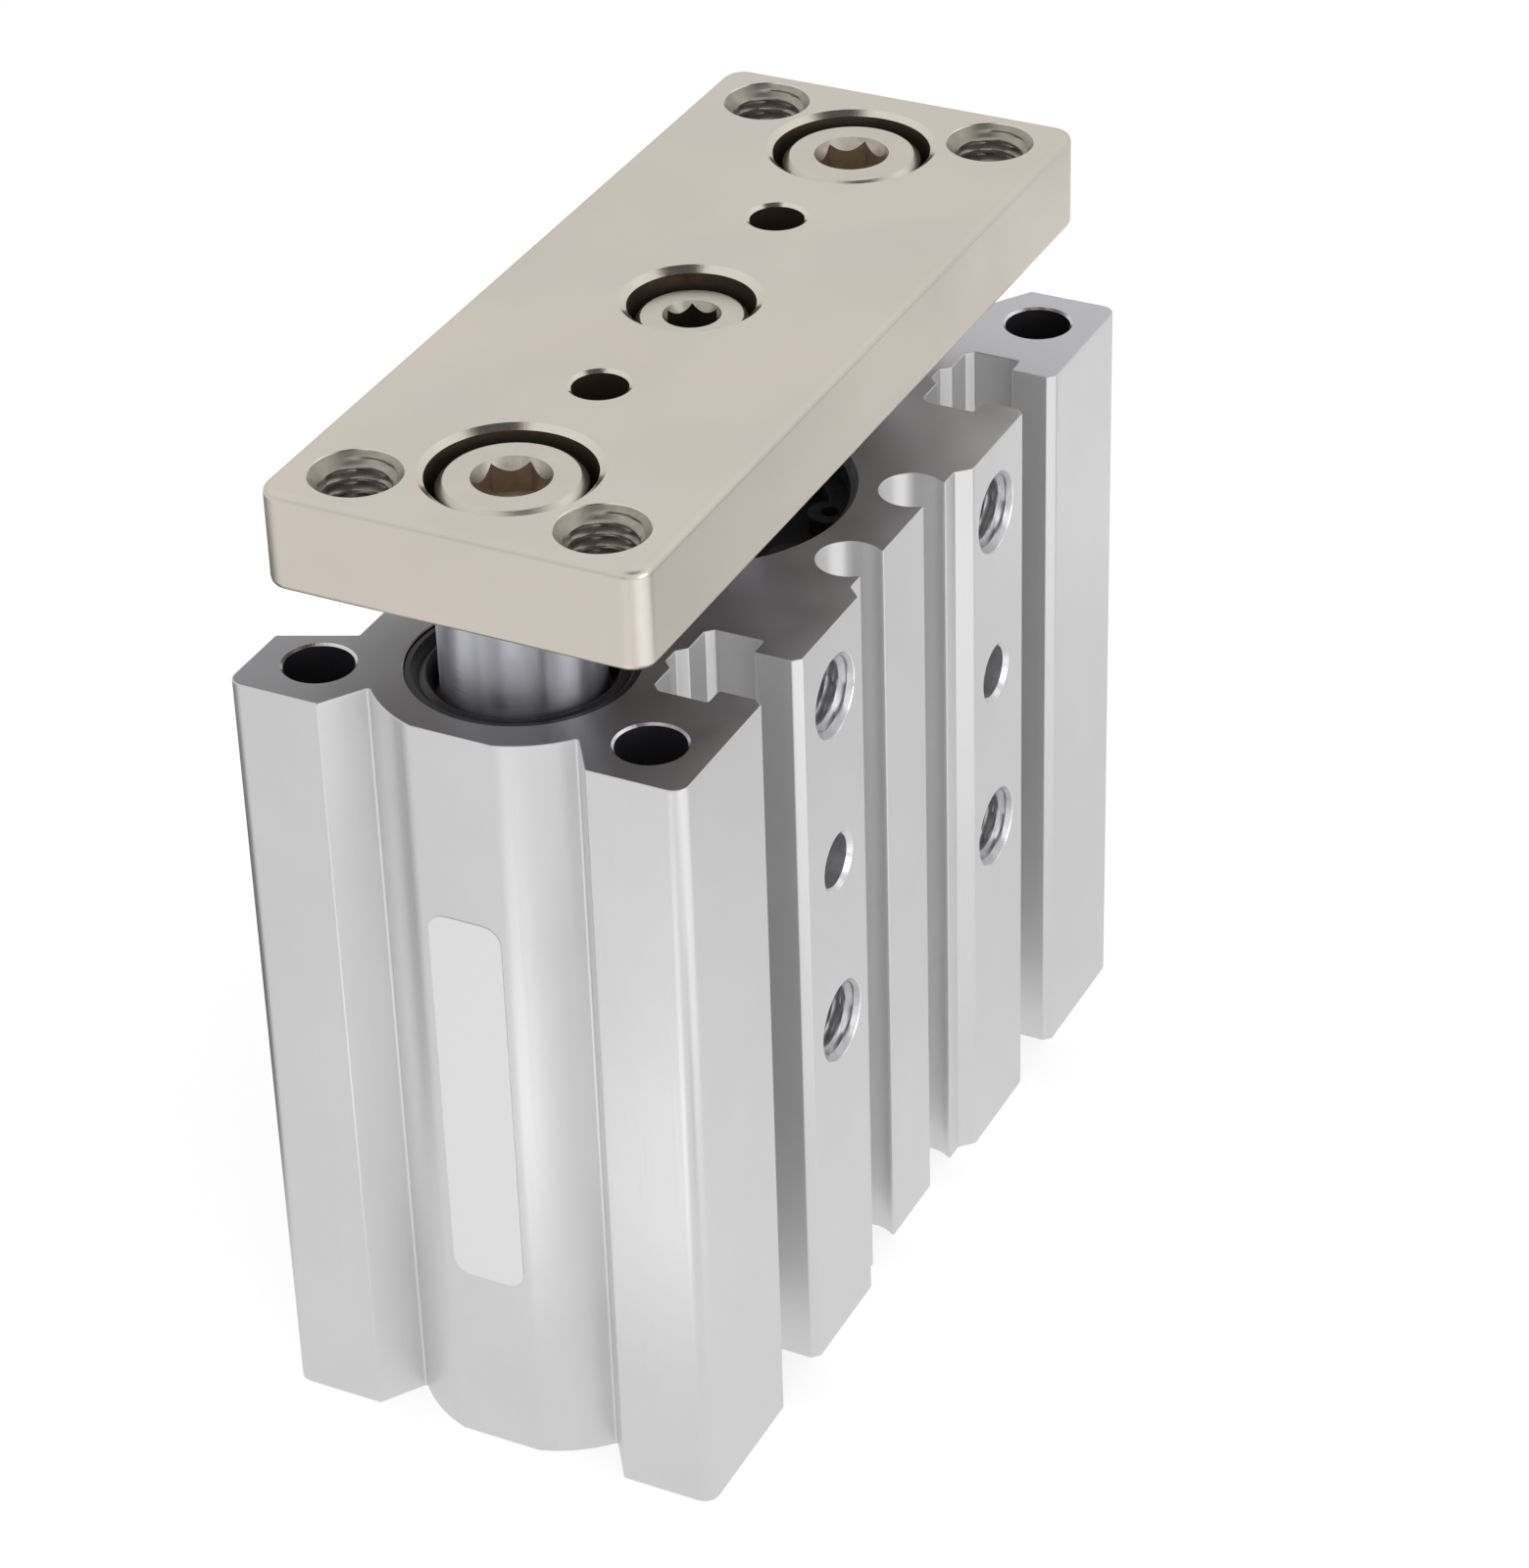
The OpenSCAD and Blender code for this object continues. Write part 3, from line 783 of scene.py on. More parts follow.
def round_corners(points: Sequence[Vector], radius: float, steps: int = 3) -> list[Vector]:
    """Rounds the sharp corners of a loop, and leaves its arcs alone.

    Args:
        points: the loop.
        radius: the radius of the rounding.
        steps: the number of chords in each corner.

    Returns:
        The loop with round corners.
    """
    rounded = []
    for corner, before, after in corners_of(points):
        turn = math.pi - (before - corner).angle(after - corner)
        rounded += corner_arc(corner, before, after, radius if turn > SOFT_TURN else 0, steps)
    return rounded


def inset(points: Sequence[Vector], depth: float) -> list[Vector]:
    """Moves an anticlockwise loop inwards by a small depth.

    Args:
        points: the loop.
        depth: how far it moves.

    Returns:
        The moved loop.
    """
    moved = []
    for point, before, after in corners_of(points):
        back, on = (point - before).normalized(), (after - point).normalized()
        inwards = Vector((-back.y, back.x)) + Vector((-on.y, on.x))
        moved.append(point + inwards * depth / (1 + back.dot(on)))
    return moved


def angles_round(steps: int, start: float = 0.0) -> list[float]:
    """The angles of the points round an axis."""
    return [start + math.tau * i / steps for i in range(steps)]


def circle(radius: float, height: float, angles: Sequence[float]) -> list[Vector]:
    """Points round the axis at those angles, or the one point on it.

    Args:
        radius: the circle's radius.
        height: its height.
        angles: the angles of its points.

    Returns:
        The points.
    """
    if radius < WELD:
        return [Vector((0, 0, height))]
    return [Vector((radius * math.cos(a), radius * math.sin(a), height)) for a in angles]


@dataclass(frozen=True)
class Stop:
    """A corner of a turned profile, and the finish of the wall that starts there."""

    radius: float
    height: float
    finish: Finish
    soft: float = 0.0


def stops(finish: Finish, *corners: tuple[float, ...]) -> list[Stop]:
    """Corners whose walls have one finish, each as its radius, height and rounding, if any."""
    return [Stop(radius, height, finish, *soft) for radius, height, *soft in corners]


def lower_mouth(
    radius: float, rise: float, bottom: float, wall: Finish, rim: Finish, out: float = 0.0
) -> list[Stop]:
    """The lower end of a cutter that opens downwards.

    Args:
        radius: the hole's radius.
        rise: the height of the chamfer at its mouth.
        bottom: the height of the surface.
        wall: the finish of the wall above the chamfer.
        rim: the finish of the chamfer.
        out: the width of the chamfer, where it isn't its height.

    Returns:
        The profile from the axis to the wall.
    """
    mouth = radius + (out or rise)
    chamfer = stops(rim, (mouth, bottom - OVER), (mouth, bottom))
    return [Stop(0, bottom - OVER, wall), *chamfer, Stop(radius, bottom + rise, wall)]


def upper_mouth(
    radius: float, drop: float, top: float, rim: Finish, out: float = 0.0
) -> list[Stop]:
    """The upper end of a cutter that opens upwards.

    Args:
        radius: the hole's radius.
        drop: the height of the chamfer at its mouth.
        top: the height of the surface.
        rim: the finish of the chamfer.
        out: the width of the chamfer, where it isn't its height.

    Returns:
        The profile from the wall to the axis.
    """
    mouth = radius + (out or drop)
    return stops(rim, (radius, top - drop), (mouth, top), (mouth, top + OVER), (0, top + OVER))


def drill_tip(radius: float, depth: float, wall: Finish) -> list[Stop]:
    """The tip of a drill in a hole that opens up at height 0, and the corner above it."""
    return stops(wall, (0, -depth - radius / math.tan(DRILL_TIP)), (radius, -depth))


def softened(profile: Sequence[Stop], ring: bool) -> list[Stop]:
    """Rounds the corners of a turned profile that ask for it.

    Args:
        profile: the profile.
        ring: whether its end joins its start.

    Returns:
        The profile with arcs in those corners.
    """
    path = []
    for i, stop in enumerate(profile):
        inner = ring or 0 < i < len(profile) - 1
        if not inner or stop.soft <= 0:
            path.append(stop)
            continue
        near = stop, profile[i - 1], profile[(i + 1) % len(profile)]
        arc = corner_arc(*(Vector((s.radius, s.height)) for s in near), stop.soft, 3)
        path += [Stop(p.x, p.y, stop.finish) for p in arc]
    return path


class Shell:
    """A closed mesh in the making, in millimetres, with a finish for each face."""

    def __init__(self) -> None:
        """Starts empty."""
        self.form = bmesh.new()
        self.finishes: list[Finish] = []

    def face(self, corners: Sequence[bmesh.types.BMVert], finish: Finish) -> None:
        """Adds one face.

        Args:
            corners: its corners, each once.
            finish: its finish.
        """
        if finish not in self.finishes:
            self.finishes.append(finish)
        self.form.faces.new(corners).material_index = self.finishes.index(finish)

    def loft(
        self,
        sections: Sequence[tuple[Sequence[Vector], Finish]],
        place: Matrix,
        closed: bool = False,
    ) -> list[Ring]:
        """Adds rings of points and the walls between them.

        Args:
            sections: each ring's points, or its one point on the axis, with the finish of the wall
                that starts there.
            place: where they go.
            closed: whether the last ring joins the first.

        Returns:
            The vertices of the rings.
        """
        rings = [[self.form.verts.new(place @ point) for point in points] for points, _ in sections]
        for low, high, (_, finish) in zip(rings, rings[1:] + rings[: int(closed)], sections):
            count = max(len(low), len(high))
            for i in range(count):
                j = (i + 1) % count
                ends = (low, i), (low, j), (high, j), (high, i)
                self.face(list(dict.fromkeys(ring[at % len(ring)] for ring, at in ends)), finish)
        return rings

    def turned(
        self, profile: Sequence[Stop], place: Matrix = Matrix(), steps: int = 72, ring: bool = False
    ) -> "Shell":
        """Adds a form turned round +Z.

        Args:
            profile: its profile, from the lower end out and up to the upper end.
            place: where it goes.
            steps: the number of flats round it.
            ring: whether the profile's end joins its start, as a ring's does.

        Returns:
            This shell.
        """
        angles = angles_round(steps)
        path = softened(profile, ring)
        self.loft([(circle(s.radius, s.height, angles), s.finish) for s in path], place, ring)
        return self

    def bored(
        self, profile: Sequence[Stop], facing: Facing, places: Sequence[Vector], steps: int
    ) -> None:
        """Adds the same turned form at several places.

        Args:
            profile: its profile.
            facing: the way that its upper end faces.
            places: where it goes.
            steps: the number of flats round it.
        """
        for place in places:
            self.turned(profile, facing.place(place), steps)

    def prism(
        self,
        outline: Sequence[Vector],
        low: float,
        high: float,
        edge: float,
        finishes: tuple[Finish, Finish],
        place: Matrix = Matrix(),
        steps: int = 3,
    ) -> "Shell":
        """Adds an upright form with round rims at both ends.

        Args:
            outline: its section, anticlockwise.
            low: the height of its lower end.
            high: the height of its upper end.
            edge: the radius of both rims.
            finishes: the finish of its walls, and that of its ends.
            place: where it goes.
            steps: the number of chords in each rim.

        Returns:
            This shell.
        """
        wall, end = finishes
        quarter = [math.pi / 2 * i / steps for i in range(steps + 1)]
        levels = [(low + edge * (1 - math.cos(t)), edge * (1 - math.sin(t))) for t in quarter]
        levels += [(high - edge * (1 - math.sin(t)), edge * (1 - math.cos(t))) for t in quarter]
        rims = [[Vector((*p, height)) for p in inset(outline, depth)] for height, depth in levels]
        rings = self.loft([(rim, wall) for rim in rims], place)
        self.face(rings[0][::-1], end)
        self.face(rings[-1], end)
        return self

    def object(self, name: str) -> bpy.types.Object:
        """Ends the shell as an object in metres at the origin.

        Args:
            name: the object's name.

        Returns:
            The object.
        """
        bmesh.ops.remove_doubles(self.form, verts=self.form.verts, dist=WELD / 10)
        bmesh.ops.recalc_face_normals(self.form, faces=self.form.faces)
        mesh = bpy.data.meshes.new(name)
        self.form.to_mesh(mesh)
        self.form.free()
        mesh.transform(TO_METRES)
        for finish in self.finishes:
            mesh.materials.append(finish.material())
        return new_object(name, mesh)


# ---------------------------------------------------------------------------------------------
# Pieces
# ---------------------------------------------------------------------------------------------


def new_object(name: str, data: bpy.types.ID) -> bpy.types.Object:
    """Puts a mesh, a lamp or a camera into the scene as an object at the origin.

    Args:
        name: the object's name.
        data: its mesh, lamp or camera.

    Returns:
        The object.
    """
    made = bpy.data.objects.new(name, data)
    bpy.context.scene.collection.objects.link(made)
    return made


def apply_modifiers(piece: bpy.types.Object) -> None:
    """Turns an object's modifiers into plain mesh.

    Args:
        piece: the object.
    """
    depsgraph = bpy.context.evaluated_depsgraph_get()
    mesh = bpy.data.meshes.new_from_object(piece.evaluated_get(depsgraph))
    piece.modifiers.clear()
    old = piece.data
    piece.data = mesh
    bpy.data.meshes.remove(old)
    mesh.name = piece.name


def cut(piece: bpy.types.Object, cutter: Shell) -> None:
    """Takes a cutter away from a piece; the cut faces keep the cutter's finishes.

    Args:
        piece: the piece, whose mesh is changed.
        cutter: the cutter, used up by this.
    """
    tool = cutter.object("cutter")
    step = piece.modifiers.new("cut", "BOOLEAN")
    step.operation = "DIFFERENCE"
    step.solver = "EXACT"
    step.material_mode = "TRANSFER"
    step.object = tool
    apply_modifiers(piece)
    mesh = tool.data
    bpy.data.objects.remove(tool)
    bpy.data.meshes.remove(mesh)


def flats_of(form: bmesh.types.BMesh) -> tuple[list[int], list[float]]:
    """Groups the faces that lie in one flat.

    Args:
        form: the mesh, with its face indices up to date.

    Returns:
        The number of each face's flat, and the area of each flat.
    """
    number = [-1] * len(form.faces)
    areas: list[float] = []
    for start in form.faces:
        if number[start.index] >= 0:
            continue
        number[start.index] = len(areas)
        area, ahead = 0.0, [start]
        while ahead:
            face = ahead.pop()
            area += face.calc_area()
            for other in (other for edge in face.edges for other in edge.link_faces):
                if number[other.index] < 0 and other.normal.dot(start.normal) > 0.999999:
                    number[other.index] = len(areas)
                    ahead.append(other)
        areas.append(area)
    return number, areas


def fans_at(vert: bmesh.types.BMVert) -> list[list[bmesh.types.BMFace]]:
    """Groups the faces round a vertex that no sharp edge parts.

    Args:
        vert: the vertex.

    Returns:
        The groups.
    """
    fans = []
    left = list(vert.link_faces)
    while left:
        fan, ahead = [], [left.pop()]
        while ahead:
            face = ahead.pop()
            fan.append(face)
            for edge in (e for e in face.edges if e.smooth and vert in e.verts):
                near = [f for f in edge.link_faces if f in left]
                left = [f for f in left if f not in near]
                ahead += near
        fans.append(fan)
    return fans


def smooth(piece: bpy.types.Object, angle: float) -> None:
    """Shades a piece smooth between its sharp edges, with the wide flats kept flat.

    Each corner's normal is the mean over the faces that meet there without a sharp edge between
    them, weighted by the area of the flat that each lies in, so a small rounding takes up the
    whole turn beside a flat.

    Args:
        piece: the piece, whose mesh is changed.
        angle: the turn from which an edge is sharp.
    """
    form = bmesh.new()
    form.from_mesh(piece.data)
    form.normal_update()
    form.faces.index_update()
    for edge in form.edges:
        edge.smooth = edge.is_manifold and edge.calc_face_angle(math.pi) < angle
    for face in form.faces:
        face.smooth = True
    number, areas = flats_of(form)
    form.to_mesh(piece.data)
    normals: dict[tuple[int, int], Vector] = {}
    for vert in form.verts:
        for fan in fans_at(vert):
            flats = {number[face.index]: face.normal for face in fan}
            normal = sum((n * areas[flat] for flat, n in flats.items()), Vector()).normalized()
            normals |= {(face.index, vert.index): normal for face in fan}
    loops = [normals[face.index, loop.vert.index] for face in form.faces for loop in face.loops]
    piece.data.normals_split_custom_set(loops)
    form.free()


def place_on(piece: bpy.types.Object, body: Body, finish: Finish, *nodes: str) -> None:
    """Hands a finished piece to its body, in place of the CAD nodes that it stands for.

    Args:
        piece: the finished piece.
        body: the body that carries it.
        finish: its main finish; not used.
        nodes: the CAD nodes that it replaces.
    """
    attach(piece, body.value)
    if nodes:
        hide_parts(*nodes)
    LOG.info("%s: %d faces", piece.name, len(piece.data.polygons))


def stand_in(
    node: str,
    shell: Shell,
    body: Body,
    finish: Finish,
    cutters: Sequence[Shell] = (),
    angle: float = SHARP_EDGE,
) -> None:
    """Ends a shell as the piece that stands for a CAD node.

    Args:
        node: the CAD node.
        shell: its new form.
        body: the body that carries it.
        finish: its main finish.
        cutters: what is taken away from it, in order.
        angle: the turn from which its edges are sharp.
    """
    piece = shell.object(f"{node}_finished")
    for cutter in cutters:
        cut(piece, cutter)
    smooth(piece, angle)
    place_on(piece, body, finish, node)


def mouths(mount: str, facing: Facing, level: float) -> list[Vector]:
    """Finds the mouths of the holes of one of the record's bolt patterns, in millimetres.

    Args:
        mount: the pattern's name.
        facing: the way that the holes open.
        level: the place of the face that they open in, on the axis that it faces.

    Returns:
        The middles of the mouths.
    """
    found = next(m for m in frame["record"]["mounts"] if m["name"] == mount)
    centre, sizes = Vector(found["pos_m"]) / MM, found["dims"]
    half_x, half_y = (sizes.get(f"spacing_{axis}_mm", 0) / 2 for axis in "xy")
    level_axis, other = facing.axes()
    centre[level_axis.value] = level
    along = Vector()
    along[other.value] = 1
    offsets = {(sx * half_x, sy * half_y) for sx in (-1, 1) for sy in (-1, 1)}
    return [centre + Vector((dx, 0, 0)) + along * dy for dx, dy in sorted(offsets)]


# ---------------------------------------------------------------------------------------------
# Threads
# ---------------------------------------------------------------------------------------------


@dataclass(frozen=True)
class Thread:
    """An internal metric thread, as a sleeve that fits a hole of its mouth's radius."""

    major: float = 2.5
    minor: float = 2.07
    pitch: float = 0.8
    mouth: float = 2.7
    lip: float = 0.06
    around: int = 40
    rows_per_turn: int = 8

    def through(self, depth: float, wall: Finish, rim: Finish) -> list[Stop]:
        """The cutter of the hole that the sleeve sits in, opening at height 0 and at its depth."""
        lower = lower_mouth(self.mouth, self.lip, -depth, wall, rim)
        return lower + upper_mouth(self.mouth, self.lip, 0, rim)

    def blind(self, depth: float, drill: float, wall: Finish, rim: Finish) -> list[Stop]:
        """The cutter of a blind hole for the sleeve, opening up at height 0.

        Args:
            depth: the depth of the thread.
            drill: the depth of the tapping hole under it, without its tip.
            wall: the finish of the wall.
            rim: the finish of the mouth.

        Returns:
            The cutter's profile.
        """
        step = -depth - self.lip
        seat = stops(wall, (self.minor, step), (self.mouth, step))
        return drill_tip(self.minor, drill, wall) + seat + upper_mouth(self.mouth, self.lip, 0, rim)


class ThreadTree(NodeGraph):
    """Geometry Nodes that cut a thread's sleeve and set one at every vertex of their object."""

    LENGTHS = (
        "Major radius", "Minor radius", "Pitch", "Depth", "Lip", "Mouth radius", "Far mouth radius",
    )
    SIZES = {
        "Geometry": "Geometry",
        **dict.fromkeys(LENGTHS, "Float"),
        **dict.fromkeys(("Points around", "Rows"), "Int"),
        "Turn": "Vector",
        "Finish": "Material",
    }
    SPARE_ROWS = 3
    FLAT = 0.25
    FLANK = 0.625

    def __init__(self) -> None:
        """Builds the tree."""
        super().__init__(bpy.data.node_groups.new("internal_threads", "GeometryNodeTree"))
        sockets = self.tree.interface
        sockets.new_socket("Geometry", in_out="OUTPUT", socket_type="NodeSocketGeometry")
        self.identifiers = {
            name: sockets.new_socket(
                name, in_out="INPUT", socket_type=f"NodeSocket{kind}"
            ).identifier
            for name, kind in self.SIZES.items()
        }
        self.sizes = self.node("NodeGroupInput").outputs
        self.build()

    def choose(self, test: Socket, no: object, yes: object) -> Socket:
        """One of two numbers, by a test."""
        inputs = {"Switch": test, "False": no, "True": yes}
        return self.node("GeometryNodeSwitch", inputs, input_type="FLOAT").outputs[0]

    def profile(self, row: Socket, turn: Socket) -> tuple[Socket, Socket]:
        """Shapes the sleeve.

        Args:
            row: the number of a point's row, from the mouth down.
            turn: how far round it lies, from 0 to 1.

        Returns:
            The point's radius and height.
        """
        sizes = self.sizes
        last = self.math("SUBTRACT", sizes["Rows"], self.SPARE_ROWS)
        part = self.math("MINIMUM", self.math("DIVIDE", row, last), 1)
        sunk = self.math("MULTIPLY", sizes["Depth"], part)
        phase = self.math("ADD", self.math("DIVIDE", sunk, sizes["Pitch"]), turn)
        wave = self.math("PINGPONG", self.math("MULTIPLY", phase, 2), 1)
        flank = self.math("DIVIDE", self.math("SUBTRACT", wave, self.FLAT), self.FLANK)
        share = self.math("MINIMUM", self.math("MAXIMUM", flank, 0), 1)
        tall = self.math("SUBTRACT", sizes["Major radius"], sizes["Minor radius"])
        radius = self.math("MULTIPLY_ADD", tall, share, sizes["Minor radius"])
        mouth = self.math("SUBTRACT", sizes["Mouth radius"], sunk)
        rest = self.math("SUBTRACT", sizes["Depth"], sunk)
        far = self.math("SUBTRACT", sizes["Far mouth radius"], rest)
        radius = self.math("MAXIMUM", self.math("MAXIMUM", radius, mouth), far)
        outside = self.math("GREATER_THAN", row, self.math("ADD", last, 0.5))
        top = self.math("GREATER_THAN", row, self.math("ADD", last, 1.5))
        radius = self.choose(outside, radius, sizes["Mouth radius"])
        height = self.math("MULTIPLY", self.choose(top, sunk, 0.0), -1)
        return radius, self.math("SUBTRACT", height, sizes["Lip"])

    def build(self) -> None:
        """Rolls a grid into the sleeve and puts it on the points."""
        sizes = self.sizes
        around = self.math("ADD", sizes["Points around"], 1)
        inputs = {"Size X": 1.0, "Size Y": 1.0, "Vertices X": around, "Vertices Y": sizes["Rows"]}
        made = self.node("GeometryNodeMeshGrid", inputs).outputs["Mesh"]
        position = self.node("GeometryNodeInputPosition").outputs[0]
        across, up, _ = self.node("ShaderNodeSeparateXYZ", {0: position}).outputs
        turn = self.math("ADD", across, 0.5)
        steps = self.math("SUBTRACT", sizes["Rows"], 1)
        row = self.math("ROUND", self.math("MULTIPLY", self.math("ADD", up, 0.5), steps))
        radius, height = self.profile(row, turn)
        angle = self.math("MULTIPLY", turn, math.tau)
        x, y = (self.math("MULTIPLY", radius, self.math(of, angle)) for of in ("COSINE", "SINE"))
        place = self.node("ShaderNodeCombineXYZ", {0: x, 1: y, 2: height}).outputs[0]
        for kind, others in (
            ("SetPosition", {"Position": place}),
            ("MergeByDistance", {"Distance": WELD}),
            ("InstanceOnPoints", {"Points": sizes["Geometry"], "Rotation": sizes["Turn"]}),
            ("RealizeInstances", {}),
            ("SetMaterial", {"Material": sizes["Finish"]}),
        ):
            carried = "Instance" if kind == "InstanceOnPoints" else "Geometry"
            made = self.node(f"GeometryNode{kind}", {carried: made, **others}).outputs[0]
        self.node("NodeGroupOutput", {0: made})

    def sleeves(
        self,
        name: str,
        thread: Thread,
        facing: Facing,
        holes: Sequence[Vector],
        depth: float,
        finish: Finish,
        through: bool = False,
    ) -> bpy.types.Object:
        """Makes the threads of one group of holes as one plain mesh.

        Args:
            name: the piece's name.
            thread: the thread's sizes.
            facing: the way that the holes open.
            holes: the middles of their mouths.
            depth: the depth of the thread.
            finish: the finish of its flanks.
            through: whether there is a mouth at the far end too.

        Returns:
            The piece.
        """
        mesh = bpy.data.meshes.new(name)
        mesh.from_pydata([tuple(hole) for hole in holes], [], [])
        piece = new_object(name, mesh)
        step = piece.modifiers.new("threads", "NODES")
        step.node_group = self.tree
        depth -= 2 * thread.lip if through else thread.lip
        values = {
            "Major radius": thread.major,
            "Minor radius": thread.minor,
            "Pitch": thread.pitch,
            "Depth": depth,
            "Lip": thread.lip,
            "Mouth radius": thread.mouth,
            "Far mouth radius": thread.mouth if through else 0.0,
            "Points around": thread.around,
            "Rows": self.SPARE_ROWS + math.ceil(depth / thread.pitch * thread.rows_per_turn),
            "Turn": (math.radians(facing.value), 0.0, 0.0),
            "Finish": finish.material(),
        }
        for key, value in values.items():
            step[self.identifiers[key]] = value
        apply_modifiers(piece)
        form = bmesh.new()
        form.from_mesh(piece.data)
        bmesh.ops.recalc_face_normals(form, faces=form.faces)
        form.to_mesh(piece.data)
        form.free()
        piece.data.transform(TO_METRES)
        piece.data.shade_smooth()
        piece.data.set_sharp_from_angle(angle=math.radians(40))
        return piece


# ---------------------------------------------------------------------------------------------
# Sub-assemblies, in millimetres
# ---------------------------------------------------------------------------------------------


@dataclass(frozen=True)
class CylinderBody:
    """The extruded body with its bores, its mounting holes and their threads.

    A dowel hole is its radius, the width of its mouth's chamfer and its depth.
    """

    corner: float = 0.18
    rim: float = 0.07
    ring_play: float = 0.05
    guide_mouth: float = 0.25
    bore_mouth: float = 0.5
    through_radius: float = 2.15
    through_mouth: float = 0.15
    lower_thread: float = 12.0
    side_thread: float = 9.2
    side_depth: float = 10.0
    dowel: tuple[float, float, float] = (1.75, 0.3, 3.5)
    lower_dowel: tuple[float, float, float] = (2.0, 0.15, 6.0)
    port_thread: float = 4.0
    port_depth: float = 4.4
    port_cone: float = 0.6
    orifice_radius: float = 0.9
    orifice_end: float = 1.0
    thread: Thread = Thread()

    def build(self, threads: ThreadTree) -> None:
        """Makes the body and its threads.

        Args:
            threads: the tree that cuts them.
        """
        low, high = box_mm("cylinder_body")
        outline = round_corners(outlines_of("cylinder_body", high.z)[0], self.corner)
        shell = Shell().prism(outline, low.z, high.z, self.rim, (ANODISED, MILLED_WITH_SHADE))
        side = mouths("side_taps", Facing.FRONT, low.y)
        port = mouths("rod_end_and_head_end_ports", Facing.REAR, high.y)
        lower = mouths("through_holes", Facing.BOTTOM, low.z)
        holes = Shell()
        holes.bored(self.through_hole(high.z), Facing.TOP, lower, 48)
        tap = self.thread.blind(self.side_thread, self.side_depth, DRILLED_SHADE, CUT)
        holes.bored(tap, Facing.FRONT, side, 56)
        for mount, facing, level, (radius, mouth, depth), wall in (
            ("side_dowel_holes", Facing.FRONT, low.y, self.dowel, REAMED),
            ("bottom_dowel_holes", Facing.BOTTOM, low.z, self.lower_dowel, DRILLED_SHADE),
        ):
            profile = drill_tip(radius, depth, wall) + upper_mouth(radius, mouth, 0, CUT)
            holes.bored(profile, facing, mouths(mount, facing, level), 48)
        ports = Shell()
        ports.bored(self.port(high.y), Facing.REAR, port, 56)
        cutters = (self.bores(high.z), ports, holes)
        stand_in("cylinder_body", shell, Body.CYLINDER, ANODISED, cutters)
        for name, facing, places, depth in (
            ("side_tap_threads", Facing.FRONT, side, self.side_thread),
            ("port_threads", Facing.REAR, port, self.port_thread),
            ("lower_tap_threads", Facing.BOTTOM, lower, self.lower_thread),
        ):
            piece = threads.sleeves(name, self.thread, facing, places, depth, THREAD)
            place_on(piece, Body.CYLINDER, ANODISED)

    def bores(self, top: float) -> Shell:
        """Cuts the cylinder bore and both guide bores.

        Args:
            top: the height of the body.

        Returns:
            Their cutter.
        """
        bore, pocket = (box_mm(node)[1].x for node in ("head_cover", "rod_end_collar"))
        step = box_mm("rod_end_collar")[0].z
        profile = [
            *lower_mouth(bore, self.bore_mouth, 0, DRILLED_SHADE, CUT),
            *self.ring_groove("head_end_retaining_ring", bore),
            *stops(DRILLED_SHADE, (bore, step), (pocket, step)),
            *self.ring_groove("rod_end_retaining_ring", pocket),
            *upper_mouth(pocket, self.bore_mouth, top, DRILLED_SHADE),
        ]
        shell = Shell().turned(profile, steps=128)
        for side in Side:
            x, bore, _, _ = upright(f"upper_guide_bush_{side.value}")
            felt_low, felt_high = box_mm(f"felt_ring_{side.value}")
            step, pocket = felt_low.z, felt_high.x - x
            profile = [
                *lower_mouth(bore, self.guide_mouth, 0, DRILLED_SHADE, CUT),
                *stops(DRILLED_SHADE, (bore, step), (pocket, step)),
                *upper_mouth(pocket, self.rim, top, CUT),
            ]
            shell.turned(profile, Facing.TOP.place((x, 0, 0)), steps=96)
        return shell

    def ring_groove(self, node: str, wall: float) -> list[Stop]:
        """Cuts the groove of a retaining ring.

        Args:
            node: the ring's CAD node.
            wall: the radius of the bore that it sits in.

        Returns:
            The groove's corners.
        """
        low, high = box_mm(node)
        bottom, top = low.z - self.ring_play, high.z + self.ring_play
        deep = high.x + self.ring_play
        return stops(DRILLED_SHADE, (wall, bottom), (deep, bottom), (deep, top), (wall, top))

    def through_hole(self, top: float) -> list[Stop]:
        """Cuts a mounting hole, with room for the thread at its lower end.

        Args:
            top: the height of the body.

        Returns:
            The cutter's profile.
        """
        mouth, radius, step = self.thread.mouth, self.through_radius, self.lower_thread
        return [
            *lower_mouth(mouth, self.thread.lip, 0, DRILLED_SHADE, CUT),
            *stops(DRILLED_SHADE, (mouth, step), (radius, step)),
            *upper_mouth(radius, 2 * self.rim, top, CUT, self.through_mouth),
        ]

    def port(self, rear: float) -> list[Stop]:
        """Cuts a port, with its orifice into the bore.

        Args:
            rear: the place of the port face along Y.

        Returns:
            The cutter's profile.
        """
        end, cone = self.orifice_end - rear, -self.port_depth - self.port_cone
        radius = self.orifice_radius
        tap = self.thread.blind(self.port_thread, self.port_depth, DRILLED_SHADE, CUT)
        return stops(DRILLED_SHADE, (0, end), (radius, end), (radius, cone)) + tap[1:]


